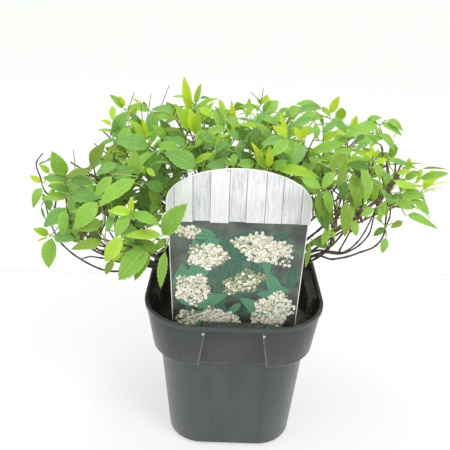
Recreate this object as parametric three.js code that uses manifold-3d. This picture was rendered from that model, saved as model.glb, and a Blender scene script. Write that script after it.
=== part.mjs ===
// A young spirea shrub in a square nursery pot, with its picture label.
// Millimetres, +Z up. The origin is the middle of the pot's flat underside, and the label faces -Y.
import * as THREE from "three";
import { mergeVertices } from "three/addons/utils/BufferGeometryUtils.js";
import Module from "manifold-3d";

const wasm = await Module();
wasm.setup();

// ---------------------------------------------------------------- driving dimensions

const GAP = 0.3; // clearance between solids that touch in the real plant
const MERGE = 1e-4; // vertices nearer than this are one vertex
const FINEST_EDGE = 0.004; // fusing a leaf or twig may leave no two vertices nearer than this

// The pot is a rounded square. Each row of a profile is half its width, its height and its corner radius.
const POT_HEIGHT = 145;
const POT_WALL = 1.6;
const POT_BASE_HALF = 56;
const POT_NECK_HALF = 62.5; // the body just under the collar
const COLLAR_FOOT_HALF = 68.5;
const RIM_HALF = 75;
const COLLAR_HEIGHT = 43;
const COLLAR_BOTTOM = POT_HEIGHT - COLLAR_HEIGHT;
const STEP_SLOPE = 1; // the step under the collar rises and spreads by this much
const COLLAR_EASE = 2; // the collar's foot is upright this far up
const BODY_CORNER = 31;
const COLLAR_FOOT_CORNER = 36;
const RIM_CORNER = 44;
const FOOT_RADIUS = 4; // rounding between the underside and the wall
const LIP_HEIGHT = 3.5;
const LIP_OUT = 0.9; // the lip stands this far proud of the collar
const CORNER_STEPS = 5; // facets in each rounded corner

// A shallow grip is pressed into the collar on each side: a trapezoid, open at the collar's foot.
const GRIP_TOP_HALF = 22.5;
const GRIP_FOOT_HALF = 28.5;
const GRIP_TOP = 140.5;
const GRIP_FLOOR = 64.6; // distance of its flat floor from the pot's axis
const GRIP_BELOW = 12; // the cut runs this far below the collar, where it clears the body

const DRAIN_RADIUS = 5;
const DRAIN_CIRCLE = 37;
const DRAIN_COUNT = 4;

const SOIL_TOP = 126;

// The label is a thin upright card with an arched top and a narrow foot in the compost.
const LABEL_Y = -58;
const LABEL_THICK = 0.8;
const LABEL_TOP = 270;
const LABEL_SHOULDER = 243; // the arch springs here
const LABEL_STEP = 227.5; // the pale band ends here, a little wider than the picture
const LABEL_HEAD_HALF = 53.3;
const LABEL_NECK_HALF = 51.9;
const LABEL_LOW_HALF = 49;
const LABEL_LOW = 121; // the wide part ends just below the compost
const LABEL_STAKE_HALF = 11;
const LABEL_STAKE_FLARE = 4; // the foot widens by this much where it meets the wide part
const LABEL_STAKE_TOP = 113;
const LABEL_STAKE_FOOT = 92;

// The stool is the woody root collar that every stem rises from.
const STOOL_CENTRE = new THREE.Vector3(0, 4, 123);
const STOOL_RADIUS = 18;
const STOOL_FLARE = 3.5;
const STOOL_RISES = [16, 36, 56, 75, 90]; // degrees up the dome, one for each ring

// The crown fills a flattened dome. Its underside rises to the right and towards the front.
const CROWN_CENTRE = new THREE.Vector3(-2, 8, 212);
const CROWN_HALF_X = 179;
const CROWN_HALF_Y = 146;
const CROWN_UP = 100;
const CROWN_DOWN = 54;
const CROWN_THINNEST = 14; // the underside stays this far below the centre
const CROWN_POWER = 2.6;
const RISE_RIGHT = 0.12; // per millimetre to the right
const RISE_FRONT = 0.45; // per millimetre in front of the pot's axis
const CROWN_HOLLOW = 84; // inside this radius the underside is bare stems
const CROWN_HOLLOW_TOP = 205;
const TALLEST = { name: "top_3", share: 1.24 }; // this mass may pass the outline by as much
const CELL_MARGIN = 0.4; // a mass stays this far inside its own cell
const LABEL_MARGIN = 2; // foliage stays this far off the label's face and edges

// Each tier is a ring of stems with one foliage mass at the end of each.
// from, span and lean are degrees, reach is a share of the crown's half width, tip is how far along
// the way to the mass's centre a stem ends, rise is the share of the underside's rise that a tier
// follows, and bend is how much its twigs turn up.
const TIERS = [
  { name: "low", count: 9, from: -44, span: 268, lean: 28, reach: 0.74, height: 206 },
  { name: "mid", count: 8, from: -64, span: 308, lean: 50, reach: 0.56, height: 250 },
  { name: "top", count: 4, from: 20, span: 270, lean: 76, reach: 0.22, height: 276 },
];
const TIER_HABITS = {
  low: { tip: 0.58, rise: 1, bend: 0.1 },
  mid: { tip: 0.56, rise: 0.5, bend: 0.25 },
  top: { tip: 0.6, rise: 0, bend: 0.2 },
};

// Stems cut back to a blunt end, with no leaves of their own.
const CUT_STEMS = [
  { azimuth: 2, lean: 44, tip: new THREE.Vector3(127, -12, 250) },
  { azimuth: 135, lean: 44, tip: new THREE.Vector3(-78, 84, 262) },
  { azimuth: 207, lean: 30, tip: new THREE.Vector3(-112, -46, 236) },
];
const CUT_FOOT_RADIUS = 2.1;
const CUT_TIP_RADIUS = 1.7;
const CUT_STEEPER = 16; // degrees by which a cut stem steepens from foot to tip
const STEM_FOOT_RADIUS = 2.3;
const STEM_TIP_RADIUS = 1.3;
const STEM_BEND = 0.35; // share of a stem's span over which it keeps each end's direction

const LEAF_LENGTH = 44;
const LEAF_WIDTH = 20;
const LEAF_THICK = 1;
const LEAF_BROADEST = 0.4; // share of its length from the root
const LEAF_ARCH = [0.1, 0.26]; // how far the tip hangs below the root's line, as a share of the length
const LEAF_ROLL = 0.35; // radians either way about its own length
const LEAF_SPLAY = [50, 16]; // degrees from the twig, and the spread about that
const TIP_SPLAY = 16; // of the last leaf on a twig
const LEAF_SPACING = 7;
const LEAF_TURNS = 9; // places tried for each leaf
const LEAF_TURN = 1.05; // radians from one place to the next
const LEAF_ROOT = 2; // this much of a leaf may lie outside its mass's space, at its root
const LEADER_LONGEST = 96; // the leafy stem in the middle of a mass
const LEADER_SHORTEST = 24;
const LEADER_STEP = 6; // it is shortened by this until it fits
const LEADER_OUTWARD = 0.35; // how strongly it turns away from the crown's middle
const LEADER_BARE = 0.35; // share of it with no leaves
const TWIG_RADIUS = 1.6;
const TWIG_TIP_RADIUS = 1.3;
const TWIG_SIDES = 3;
const TWIG_COUNT = 5; // from each leader
const TWIG_FIRST = 0.14; // share of the leader where the first twig stands
const TWIG_RANGE = 0.85; // share of the leader over which they stand
const TWIG_SPLAY = [50, 10]; // degrees from the leader, and the spread about that
const TWIG_LENGTH = 56;
const TWIG_STEP = 4; // each twig is this much shorter than the last, and is shortened by this until it fits
const TWIG_SHORTEST = 10;
const TWIG_TURNS = 4; // places tried for each twig
const TWIG_TURN = 1.7; // radians from one place to the next
const TWIG_BARE = 0.2; // share of it with no leaves
const TIP_ROOM = 0.6; // a shoot ends this many leaf lengths inside the outline
const SHOOT_STEP = 0.1; // share of a shoot between the places tested along it
const WOOD_CLEARANCE = 0.6;
const GOLDEN = THREE.MathUtils.degToRad(137.5);
const SEED = 9;

// ---------------------------------------------------------------- colours and finishes

const finish = (color, roughness) => new THREE.MeshStandardMaterial({ color, roughness, metalness: 0 });
const POT_PLASTIC = () => finish(0x34373a, 0.45);
const COMPOST = () => finish(0x1d1916, 0.95);
const CARD = () => finish(0xe9ebe8, 0.4);
const BARK = () => finish(0x5a4035, 0.8);
const LEAF = () => finish(0x6fae45, 0.55);

// ---------------------------------------------------------------- small helpers

// A repeatable stream of numbers from 0 to 1.
function randomStream(seed) {
  let state = seed >>> 0;
  return () => {
    state = (state + 0x6d2b79f5) >>> 0;
    let t = state;
    t = Math.imul(t ^ (t >>> 15), t | 1);
    t ^= t + Math.imul(t ^ (t >>> 7), t | 61);
    return ((t ^ (t >>> 14)) >>> 0) / 4294967296;
  };
}

const spread = (random, amount) => (random() * 2 - 1) * amount;

const degrees = (angle) => THREE.MathUtils.degToRad(angle);

// The unit direction at an azimuth from +X and a rise above the horizontal, both in radians.
const heading = (azimuth, rise) =>
  new THREE.Vector3(
    Math.cos(azimuth) * Math.cos(rise),
    Math.sin(azimuth) * Math.cos(rise),
    Math.sin(rise),
  );

// Leaves only positions, merges shared vertices and drops the flat triangles at poles and axes.
function closed(geometry) {
  const bare = geometry.index ? geometry.toNonIndexed() : geometry.clone();
  for (const name of Object.keys(bare.attributes)) if (name !== "position") bare.deleteAttribute(name);
  const merged = mergeVertices(bare, MERGE);
  const kept = [];
  for (let i = 0; i < merged.index.count; i += 3) {
    const [a, b, c] = [0, 1, 2].map((k) => merged.index.getX(i + k));
    if (a !== b && b !== c && c !== a) kept.push(a, b, c);
  }
  merged.setIndex(kept);
  return merged;
}

function solidOf(geometry) {
  const merged = closed(geometry);
  return new wasm.Manifold(
    new wasm.Mesh({
      numProp: 3,
      vertProperties: merged.attributes.position.array,
      triVerts: new Uint32Array(merged.index.array),
    }),
  );
}

function geometryOf(solid) {
  const mesh = solid.getMesh();
  const geometry = new THREE.BufferGeometry();
  geometry.setAttribute("position", new THREE.BufferAttribute(mesh.vertProperties, 3));
  geometry.setIndex(new THREE.BufferAttribute(mesh.triVerts, 1));
  return geometry;
}

const shrub = new THREE.Group();

function add(name, solid, material) {
  const mesh = new THREE.Mesh(geometryOf(solid), material);
  mesh.name = name;
  shrub.add(mesh);
}

// ---------------------------------------------------------------- pot, compost and label

// A lathe of the profile whose round section is redrawn as a square with rounded corners.
function squareTurned(profile) {
  const turned = new THREE.LatheGeometry(
    profile.map(([half, height]) => new THREE.Vector2(half, height)),
    4 * (CORNER_STEPS + 1),
  );
  const place = turned.attributes.position;
  for (let i = 0; i < place.count; i++) {
    const column = Math.floor(i / profile.length) % (4 * (CORNER_STEPS + 1));
    const [half, height, corner] = profile[i % profile.length];
    const quarter = Math.floor(column / (CORNER_STEPS + 1));
    const along = (column % (CORNER_STEPS + 1)) / CORNER_STEPS;
    const angle = (quarter + along) * (Math.PI / 2);
    const middle = (quarter + 0.5) * (Math.PI / 2);
    const inset = (half - corner) * Math.SQRT2;
    place.setXYZ(
      i,
      Math.cos(middle) * inset + Math.cos(angle) * corner,
      Math.sin(middle) * inset + Math.sin(angle) * corner,
      height,
    );
  }
  return solidOf(turned);
}

// The pot's outer surface up to its lip. Moved in by the wall, it is the surface inside.
function potProfile(inset, floor, top) {
  const rows = [
    [0, floor, 0],
    [POT_BASE_HALF - FOOT_RADIUS, floor, BODY_CORNER - FOOT_RADIUS / 2],
    [POT_BASE_HALF, floor + FOOT_RADIUS, BODY_CORNER],
    [POT_NECK_HALF, COLLAR_BOTTOM - STEP_SLOPE, BODY_CORNER],
    [COLLAR_FOOT_HALF - STEP_SLOPE, COLLAR_BOTTOM, COLLAR_FOOT_CORNER],
    [COLLAR_FOOT_HALF, COLLAR_BOTTOM + COLLAR_EASE, COLLAR_FOOT_CORNER],
    [RIM_HALF - LIP_OUT, POT_HEIGHT - LIP_HEIGHT, RIM_CORNER],
  ];
  if (inset === 0) rows.push([RIM_HALF, POT_HEIGHT - LIP_HEIGHT, RIM_CORNER]);
  const below = rows.filter(([, height]) => height < top - 1);
  const last = below[below.length - 1];
  const next = rows[below.length] ?? [inset ? RIM_HALF - LIP_OUT : RIM_HALF, top, RIM_CORNER];
  const share = Math.min(1, (top - last[1]) / Math.max(next[1] - last[1], 1e-6));
  const edge = [0, 1, 2].map((k) => last[k] + (next[k] - last[k]) * share);
  return [...below, [edge[0], top, edge[2]], [inset, top, inset]].map(([half, height, corner]) => [
    Math.max(half - inset, 0),
    height,
    Math.max(Math.min(corner, half) - inset, 0),
  ]);
}

// The four grips, grown by some clearance: a trapezoid prism on each side of the collar.
function grips(grow) {
  const foot = COLLAR_BOTTOM - GRIP_BELOW;
  const shape = new THREE.Shape()
    .moveTo(-GRIP_FOOT_HALF - grow, foot)
    .lineTo(GRIP_FOOT_HALF + grow, foot)
    .lineTo(GRIP_FOOT_HALF + grow, COLLAR_BOTTOM)
    .lineTo(GRIP_TOP_HALF + grow, GRIP_TOP + grow)
    .lineTo(-GRIP_TOP_HALF - grow, GRIP_TOP + grow)
    .lineTo(-GRIP_FOOT_HALF - grow, COLLAR_BOTTOM);
  const prism = new THREE.ExtrudeGeometry(shape, { depth: RIM_HALF, bevelEnabled: false })
    .rotateX(Math.PI / 2)
    .translate(0, -GRIP_FLOOR + grow, 0);
  return [0, 1, 2, 3]
    .map((side) => solidOf(prism.clone().rotateZ((side * Math.PI) / 2)))
    .reduce((all, one) => all.add(one));
}

function drainHoles() {
  const holes = [];
  for (let i = 0; i < DRAIN_COUNT; i++) {
    const angle = ((i + 0.5) / DRAIN_COUNT) * 2 * Math.PI;
    const hole = new THREE.CylinderGeometry(DRAIN_RADIUS, DRAIN_RADIUS, 3 * POT_WALL, 10)
      .rotateX(Math.PI / 2)
      .translate(DRAIN_CIRCLE * Math.cos(angle), DRAIN_CIRCLE * Math.sin(angle), 0);
    holes.push(solidOf(hole));
  }
  return holes.reduce((all, one) => all.add(one));
}

function pot() {
  const outside = squareTurned(potProfile(0, 0, POT_HEIGHT)).subtract(grips(0));
  const inside = squareTurned(potProfile(POT_WALL, POT_WALL, POT_HEIGHT + 5)).subtract(grips(POT_WALL));
  return outside.subtract(inside).subtract(drainHoles());
}

// The card's outline in the upright plane, grown by some clearance.
function card(grow) {
  const head = LABEL_HEAD_HALF + grow;
  const stake = LABEL_STAKE_HALF + grow;
  const shape = new THREE.Shape()
    .moveTo(-stake, LABEL_STAKE_FOOT - grow)
    .lineTo(stake, LABEL_STAKE_FOOT - grow)
    .lineTo(stake + LABEL_STAKE_FLARE, LABEL_STAKE_TOP)
    .lineTo(LABEL_LOW_HALF + grow, LABEL_LOW - grow)
    .lineTo(LABEL_NECK_HALF + grow, LABEL_STEP)
    .lineTo(head, LABEL_STEP)
    .lineTo(head, LABEL_SHOULDER)
    .absellipse(0, LABEL_SHOULDER, head, LABEL_TOP - LABEL_SHOULDER + grow, 0, Math.PI, false, 0)
    .lineTo(-head, LABEL_STEP)
    .lineTo(-LABEL_NECK_HALF - grow, LABEL_STEP)
    .lineTo(-LABEL_LOW_HALF - grow, LABEL_LOW - grow)
    .lineTo(-stake - LABEL_STAKE_FLARE, LABEL_STAKE_TOP);
  const depth = LABEL_THICK + 2 * grow;
  const sheet = new THREE.ExtrudeGeometry(shape, { depth, bevelEnabled: false, curveSegments: 20 });
  return solidOf(sheet.rotateX(Math.PI / 2).translate(0, LABEL_Y + depth / 2, 0));
}

function compost() {
  const inset = POT_WALL + GAP;
  return squareTurned(potProfile(inset, inset, SOIL_TOP)).subtract(grips(inset)).subtract(card(GAP));
}

// ---------------------------------------------------------------- stems

// A low dome that flares where it meets the compost.
function stool() {
  const foot = SOIL_TOP + GAP;
  const profile = [new THREE.Vector2(0, foot), new THREE.Vector2(STOOL_RADIUS + STOOL_FLARE, foot)];
  for (const rise of STOOL_RISES) {
    const angle = degrees(rise);
    const height = STOOL_CENTRE.z + STOOL_RADIUS * Math.sin(angle);
    profile.push(new THREE.Vector2(rise === 90 ? 0 : STOOL_RADIUS * Math.cos(angle), height));
  }
  const dome = new THREE.LatheGeometry(profile, 16).rotateX(Math.PI / 2);
  return solidOf(dome.translate(STOOL_CENTRE.x, STOOL_CENTRE.y, 0));
}

// Two unit vectors square to the curve at t, turned as little as possible along it.
function across(curve, t) {
  const chord = curve.getPoint(1).sub(curve.getPoint(0)).normalize();
  const aside = Math.abs(chord.z) > 0.8 ? new THREE.Vector3(1, 0, 0) : new THREE.Vector3(0, 0, 1);
  const along = curve.getTangent(t);
  const first = aside.addScaledVector(along, -aside.dot(along)).normalize();
  return { along, first, second: along.clone().cross(first) };
}

// A tapering limb along a curve, with flat ends.
function limb(curve, footRadius, tipRadius, sides, steps) {
  const straight = new THREE.CylinderGeometry(tipRadius, footRadius, 1, sides, steps);
  const place = straight.attributes.position;
  for (let i = 0; i < place.count; i++) {
    const t = Math.min(1, Math.max(0, place.getY(i) + 0.5));
    const { first, second } = across(curve, t);
    const point = curve
      .getPoint(t)
      .addScaledVector(first, place.getX(i))
      .addScaledVector(second, -place.getZ(i));
    place.setXYZ(i, point.x, point.y, point.z);
  }
  return straight;
}

// Points every few millimetres along a limb, with its radius there, for clearance tests.
function samples(curve, footRadius, tipRadius) {
  const count = Math.ceil(curve.getLength() / 2);
  return Array.from({ length: count + 1 }, (_, i) => ({
    point: curve.getPoint(i / count),
    radius: footRadius + (tipRadius - footRadius) * (i / count),
  }));
}

// ---------------------------------------------------------------- crown layout

// How much higher the crown's underside is at a place than over the pot's axis.
const undersideRise = (x, y) => RISE_RIGHT * x + RISE_FRONT * Math.max(0, -y);

// 0 at the crown's centre and 1 on its outline.
function outlineShare(point) {
  const p = point.clone().sub(CROWN_CENTRE);
  const down = Math.max(CROWN_DOWN - undersideRise(point.x, point.y), CROWN_THINNEST);
  const half = p.z > 0 ? CROWN_UP : down;
  return (
    Math.abs(p.x / CROWN_HALF_X) ** CROWN_POWER +
    Math.abs(p.y / CROWN_HALF_Y) ** CROWN_POWER +
    Math.abs(p.z / half) ** CROWN_POWER
  );
}

function layOutCrown() {
  const random = randomStream(SEED);
  const masses = [];
  for (const tier of TIERS) {
    const habit = TIER_HABITS[tier.name];
    for (let i = 0; i < tier.count; i++) {
      const step = tier.span / (tier.count - 1 || 1);
      const azimuth = degrees(tier.from + i * step + spread(random, 5));
      const rise = degrees(tier.lean + spread(random, 4));
      const out = heading(azimuth, 0);
      const reach = tier.reach * (1 + spread(random, 0.06));
      const x = CROWN_CENTRE.x + out.x * CROWN_HALF_X * reach;
      const y = CROWN_CENTRE.y + out.y * CROWN_HALF_Y * reach;
      const height = tier.height + habit.rise * undersideRise(x, y) + spread(random, 6);
      const centre = new THREE.Vector3(x, y, height);
      if (centre.y < LABEL_Y + 20 && Math.abs(centre.x) < LABEL_HEAD_HALF) {
        centre.y = LABEL_Y + 20;
        centre.z += 12;
      }
      const start = STOOL_CENTRE.clone().addScaledVector(heading(azimuth, rise), STOOL_RADIUS + GAP);
      const tip = start.clone().lerp(centre, habit.tip);
      const enter = centre.clone().sub(tip).normalize();
      masses.push({ name: `${tier.name}_${i + 1}`, habit, azimuth, rise, centre, tip, enter });
    }
  }
  return masses;
}

// A stem leaves the stool square to it and reaches its tip along a given direction.
function stemCurve(azimuth, rise, tip, last) {
  const first = heading(azimuth, rise);
  const start = STOOL_CENTRE.clone().addScaledVector(first, STOOL_RADIUS + GAP);
  const span = start.distanceTo(tip);
  return new THREE.CubicBezierCurve3(
    start,
    start.clone().addScaledVector(first, span * STEM_BEND),
    tip.clone().addScaledVector(last, -span * STEM_BEND),
    tip,
  );
}

function cutStemCurve({ azimuth, lean, tip }) {
  const last = heading(degrees(azimuth), degrees(lean + CUT_STEEPER));
  return stemCurve(degrees(azimuth), degrees(lean), tip, last);
}

// ---------------------------------------------------------------- foliage

const masses = layOutCrown();
for (const mass of masses) mass.bough = stemCurve(mass.azimuth, mass.rise, mass.tip, mass.enter);
const cutStems = CUT_STEMS.map(cutStemCurve);
const limbSamples = [
  ...masses.flatMap((mass) => samples(mass.bough, STEM_FOOT_RADIUS, STEM_TIP_RADIUS)),
  ...cutStems.flatMap((curve) => samples(curve, CUT_FOOT_RADIUS, CUT_TIP_RADIUS)),
];

// How far a point lies inside the flat bounds that part a mass from every other one.
function cellDepth(mass, point) {
  let depth = Infinity;
  for (const other of masses) {
    if (other === mass) continue;
    const apart = mass.centre.distanceTo(other.centre);
    const here = point.distanceToSquared(other.centre) - point.distanceToSquared(mass.centre);
    depth = Math.min(depth, here / (2 * apart));
  }
  return depth;
}

// A point that foliage may reach: its own cell, inside the outline, off the bare middle, pot and label.
function allowed(mass, point) {
  const furthest = mass.name === TALLEST.name ? TALLEST.share : 1;
  if (outlineShare(point) > furthest || cellDepth(mass, point) < CELL_MARGIN) return false;
  const radius = Math.hypot(point.x, point.y);
  if (radius < CROWN_HOLLOW && point.z < CROWN_HOLLOW_TOP) return false;
  const offLabel = Math.max(Math.abs(point.x) - LABEL_HEAD_HALF, point.z - LABEL_TOP, point.y - LABEL_Y);
  return offLabel > LABEL_MARGIN + LABEL_THICK;
}

function clearOfLimbs(point, radius) {
  return limbSamples.every((s) => s.point.distanceTo(point) > s.radius + radius + WOOD_CLEARANCE);
}

// How far a leaf has arched down at a share of its length.
const arched = (leaf, s) => -leaf.arch * leaf.length * s * s;

// A leaf is a thin three-sided spindle with a raised midrib: pointed root, broad shoulders, long tip.
function leafGeometry(leaf) {
  const spindle = new THREE.CylinderGeometry(0, 1, 1, 3, 2);
  const place = spindle.attributes.position;
  for (let i = 0; i < place.count; i++) {
    const ring = Math.round(place.getY(i) * 2) + 1;
    const s = [0, LEAF_BROADEST, 1][ring];
    const broad = ring === 1 ? 2 : 0;
    const point = leaf.root
      .clone()
      .addScaledVector(leaf.axis, s * leaf.length)
      .addScaledVector(leaf.side, place.getX(i) * broad * (leaf.width / 2 / Math.sin(degrees(120))))
      .addScaledVector(leaf.face, arched(leaf, s) + place.getZ(i) * broad * LEAF_THICK * (2 / 3));
    place.setXYZ(i, point.x, point.y, point.z);
  }
  return spindle;
}

function corners(geometry) {
  const place = geometry.attributes.position;
  return Array.from({ length: place.count }, (_, i) => new THREE.Vector3().fromBufferAttribute(place, i));
}

// Whether a ball keeps off a leaf.
function ballIsClear(leaf, point, radius) {
  const p = point.clone().sub(leaf.root);
  const x = p.dot(leaf.axis);
  if (x < -radius || x > leaf.length + radius) return true;
  const side = Math.abs(p.dot(leaf.side));
  if (side > leaf.width * 0.55 + radius) return true;
  const share = Math.min(1, Math.max(0, x / leaf.length));
  const off = p.dot(leaf.face) - arched(leaf, share);
  return Math.abs(off) > radius + LEAF_THICK / 2;
}

const leafIsClear = (leaf) => limbSamples.every((s) => ballIsClear(leaf, s.point, s.radius + LEAF_THICK));

// A piece of a mass with its box, so that most pairs need no exact test.
function piece(geometry) {
  geometry.computeBoundingBox();
  return { box: geometry.boundingBox, solid: solidOf(geometry) };
}

// The two solids fused, or null where that would leave two vertices almost in one place.
function fused(whole, added) {
  const solid = whole.add(added);
  const flat = solid.getMesh().vertProperties;
  const points = [];
  for (let i = 0; i < flat.length; i += 3) points.push([flat[i], flat[i + 1], flat[i + 2]]);
  points.sort((a, b) => a[0] - b[0]);
  for (let i = 0; i < points.length; i++) {
    for (let j = i + 1; j < points.length && points[j][0] - points[i][0] < FINEST_EDGE; j++) {
      const [y, z] = [points[j][1] - points[i][1], points[j][2] - points[i][2]];
      if (Math.hypot(points[j][0] - points[i][0], y, z) < FINEST_EDGE) return null;
    }
  }
  return solid;
}

const touches = (a, b) => a.box.intersectsBox(b.box) && !a.solid.intersect(b.solid).isEmpty();

const labelRoom = {
  box: new THREE.Box3(
    new THREE.Vector3(-LABEL_HEAD_HALF - 1, LABEL_Y - 2, 0),
    new THREE.Vector3(LABEL_HEAD_HALF + 1, LABEL_Y + 2, LABEL_TOP + 1),
  ),
  solid: card(WOOD_CLEARANCE),
};

// One leaf of a twig: it leaves at a splay from the twig and shows its upper face to the sky.
function makeLeaf(curve, t, turn, splay, size, random) {
  const { along, first, second } = across(curve, t);
  const outward = first.clone().multiplyScalar(Math.cos(turn)).addScaledVector(second, Math.sin(turn));
  const axis = along.clone().multiplyScalar(Math.cos(splay)).addScaledVector(outward, Math.sin(splay));
  const up = new THREE.Vector3(0, 0, 1).addScaledVector(along, 0.4);
  const flat = up.addScaledVector(axis, -up.dot(axis)).normalize();
  const roll = spread(random, LEAF_ROLL);
  const side = axis.clone().cross(flat);
  const face = flat.clone().multiplyScalar(Math.cos(roll)).addScaledVector(side, Math.sin(roll));
  return {
    axis,
    face,
    side: axis.clone().cross(face),
    root: curve.getPoint(t),
    length: LEAF_LENGTH * size,
    width: LEAF_WIDTH * size,
    arch: THREE.MathUtils.lerp(...LEAF_ARCH, random()),
  };
}

// A curve that sets out one way and bends up towards the light.
function shoot(start, way, length, lift) {
  const middle = start.clone().addScaledVector(way, length * 0.5);
  const end = start.clone().addScaledVector(way, length).add(new THREE.Vector3(0, 0, lift * length));
  return new THREE.QuadraticBezierCurve3(start, middle, end);
}

// Whether a shoot keeps to its mass's space from a share of its length on, with room for its last leaf.
function shootIsClear(mass, curve, from) {
  const beyond = curve.getPoint(1).addScaledVector(curve.getTangent(1), LEAF_LENGTH * TIP_ROOM);
  if (!allowed(mass, beyond)) return false;
  for (let t = from; t <= 1; t += SHOOT_STEP) {
    const point = curve.getPoint(t);
    if (!allowed(mass, point) || !clearOfLimbs(point, TWIG_RADIUS)) return false;
  }
  return true;
}

// The leafy stem in the middle of a mass: it goes on from the bough's tip and turns outward.
function growLeader(mass) {
  const start = mass.tip.clone().addScaledVector(mass.enter, GAP);
  const outer = mass.centre.clone().sub(CROWN_CENTRE).normalize();
  const way = mass.enter.clone().addScaledVector(outer, LEADER_OUTWARD).normalize();
  for (let length = LEADER_LONGEST; length >= LEADER_SHORTEST; length -= LEADER_STEP) {
    const bend = start.clone().addScaledVector(mass.enter, length * 0.4);
    const end = start.clone().addScaledVector(way, length);
    const curve = new THREE.QuadraticBezierCurve3(start, bend, end);
    if (shootIsClear(mass, curve, LEADER_BARE)) return curve;
  }
  throw new Error(`foliage ${mass.name} has no room for its leader`);
}

// A twig from the leader, shortened until it keeps to its mass's own space.
function growTwig(mass, leader, number, turn, random) {
  const t = TWIG_FIRST + (number * TWIG_RANGE) / TWIG_COUNT;
  const { along, first, second } = across(leader, t);
  const angle = number * GOLDEN + turn * TWIG_TURN + spread(random, 0.4);
  const outward = first.clone().multiplyScalar(Math.cos(angle)).addScaledVector(second, Math.sin(angle));
  const splay = degrees(TWIG_SPLAY[0] + spread(random, TWIG_SPLAY[1]));
  const way = along.clone().multiplyScalar(Math.cos(splay)).addScaledVector(outward, Math.sin(splay));
  const start = leader.getPoint(t);
  let length = TWIG_LENGTH - TWIG_STEP * number + spread(random, 8);
  let curve = shoot(start, way, length, mass.habit.bend);
  while (length > TWIG_SHORTEST && !shootIsClear(mass, curve, TWIG_BARE)) {
    length -= TWIG_STEP;
    curve = shoot(start, way, length, mass.habit.bend);
  }
  return length > TWIG_SHORTEST ? curve : null;
}

// A leaf's blade, or null where it would leave its space or meet a limb, the label or another blade.
function fittingBlade(mass, leaf, wood, shoots, leaves) {
  const blade = leafGeometry(leaf);
  const inside = (p) => p.distanceTo(leaf.root) < LEAF_ROOT || allowed(mass, p);
  if (!corners(blade).every(inside) || !leafIsClear(leaf)) return null;
  const made = piece(blade);
  if (touches(made, labelRoom) || leaves.some((other) => touches(made, other))) return null;
  return shoots.some((other) => other.wood !== wood && touches(made, other.wood)) ? null : made;
}

// Grows one mass: a leader, twigs from it, and leaves in a golden-angle spiral on each.
function grow(mass, number) {
  const random = randomStream(SEED * 1000 + number);
  const leader = growLeader(mass);
  const stem = piece(limb(leader, TWIG_RADIUS, TWIG_TIP_RADIUS, TWIG_SIDES, 3));
  const shoots = [{ curve: leader, bare: LEADER_BARE, wood: stem }];
  const leaves = [];
  let whole = stem.solid;
  const fuse = (made) => {
    const grown = fused(whole, made.solid);
    if (grown) whole = grown;
    return grown !== null;
  };
  for (let i = 0; i < TWIG_COUNT; i++) {
    for (let turn = 0; turn < TWIG_TURNS; turn++) {
      const curve = growTwig(mass, leader, i, turn, random);
      const wood = curve && piece(limb(curve, TWIG_RADIUS, TWIG_TIP_RADIUS, TWIG_SIDES, 2));
      if (!wood || touches(wood, labelRoom) || !fuse(wood)) continue;
      shoots.push({ curve, bare: TWIG_BARE, wood });
      break;
    }
  }
  for (const { curve, bare, wood } of shoots) {
    const count = Math.max(2, Math.round((curve.getLength() * (1 - bare)) / LEAF_SPACING));
    for (let i = count - 1; i >= 0; i--) {
      const atTip = i === count - 1;
      const t = atTip ? 0.96 : bare + ((0.94 - bare) * (i + 0.5)) / count;
      const fullSize = (atTip ? 0.85 : 1) * (0.9 + 0.25 * random());
      for (let turn = 0; turn < LEAF_TURNS; turn++) {
        const splay = degrees(atTip ? TIP_SPLAY : LEAF_SPLAY[0] + spread(random, LEAF_SPLAY[1]));
        const angle = i * GOLDEN + turn * LEAF_TURN + spread(random, 0.3);
        const leaf = makeLeaf(curve, t, angle, splay, fullSize * (1 - 0.04 * turn), random);
        const made = fittingBlade(mass, leaf, wood, shoots, leaves);
        if (!made || !fuse(made)) continue;
        leaves.push(made);
        break;
      }
    }
  }
  return whole;
}

// ---------------------------------------------------------------- the whole plant

add("pot", pot(), POT_PLASTIC());
add("compost", compost(), COMPOST());
add("label_card", card(0), CARD());
add("stool", stool(), BARK());
for (const { name, bough } of masses) {
  add(`stem_${name}`, solidOf(limb(bough, STEM_FOOT_RADIUS, STEM_TIP_RADIUS, 5, 6)), BARK());
}
cutStems.forEach((curve, number) => {
  add(`stem_cut_${number + 1}`, solidOf(limb(curve, CUT_FOOT_RADIUS, CUT_TIP_RADIUS, 6, 8)), BARK());
});
masses.forEach((mass, number) => {
  add(`foliage_${mass.name}`, grow(mass, number), LEAF());
});

export default shrub;
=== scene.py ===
# %% [markdown]
# # A potted spirea, dressed for the studio
# The plant stands in a square nursery pot with a picture label in front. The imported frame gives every
# piece its place and size. This lesson builds what the eye sees: moulded plastic, moist compost, thin
# brown stems, and about a thousand toothed leaves. All sizes in Blender are in metres, so MM turns
# millimetres into them.

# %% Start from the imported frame
import math
from collections import namedtuple

import bmesh
import bpy
import numpy as np
from mathutils import Matrix, Vector, noise


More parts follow.
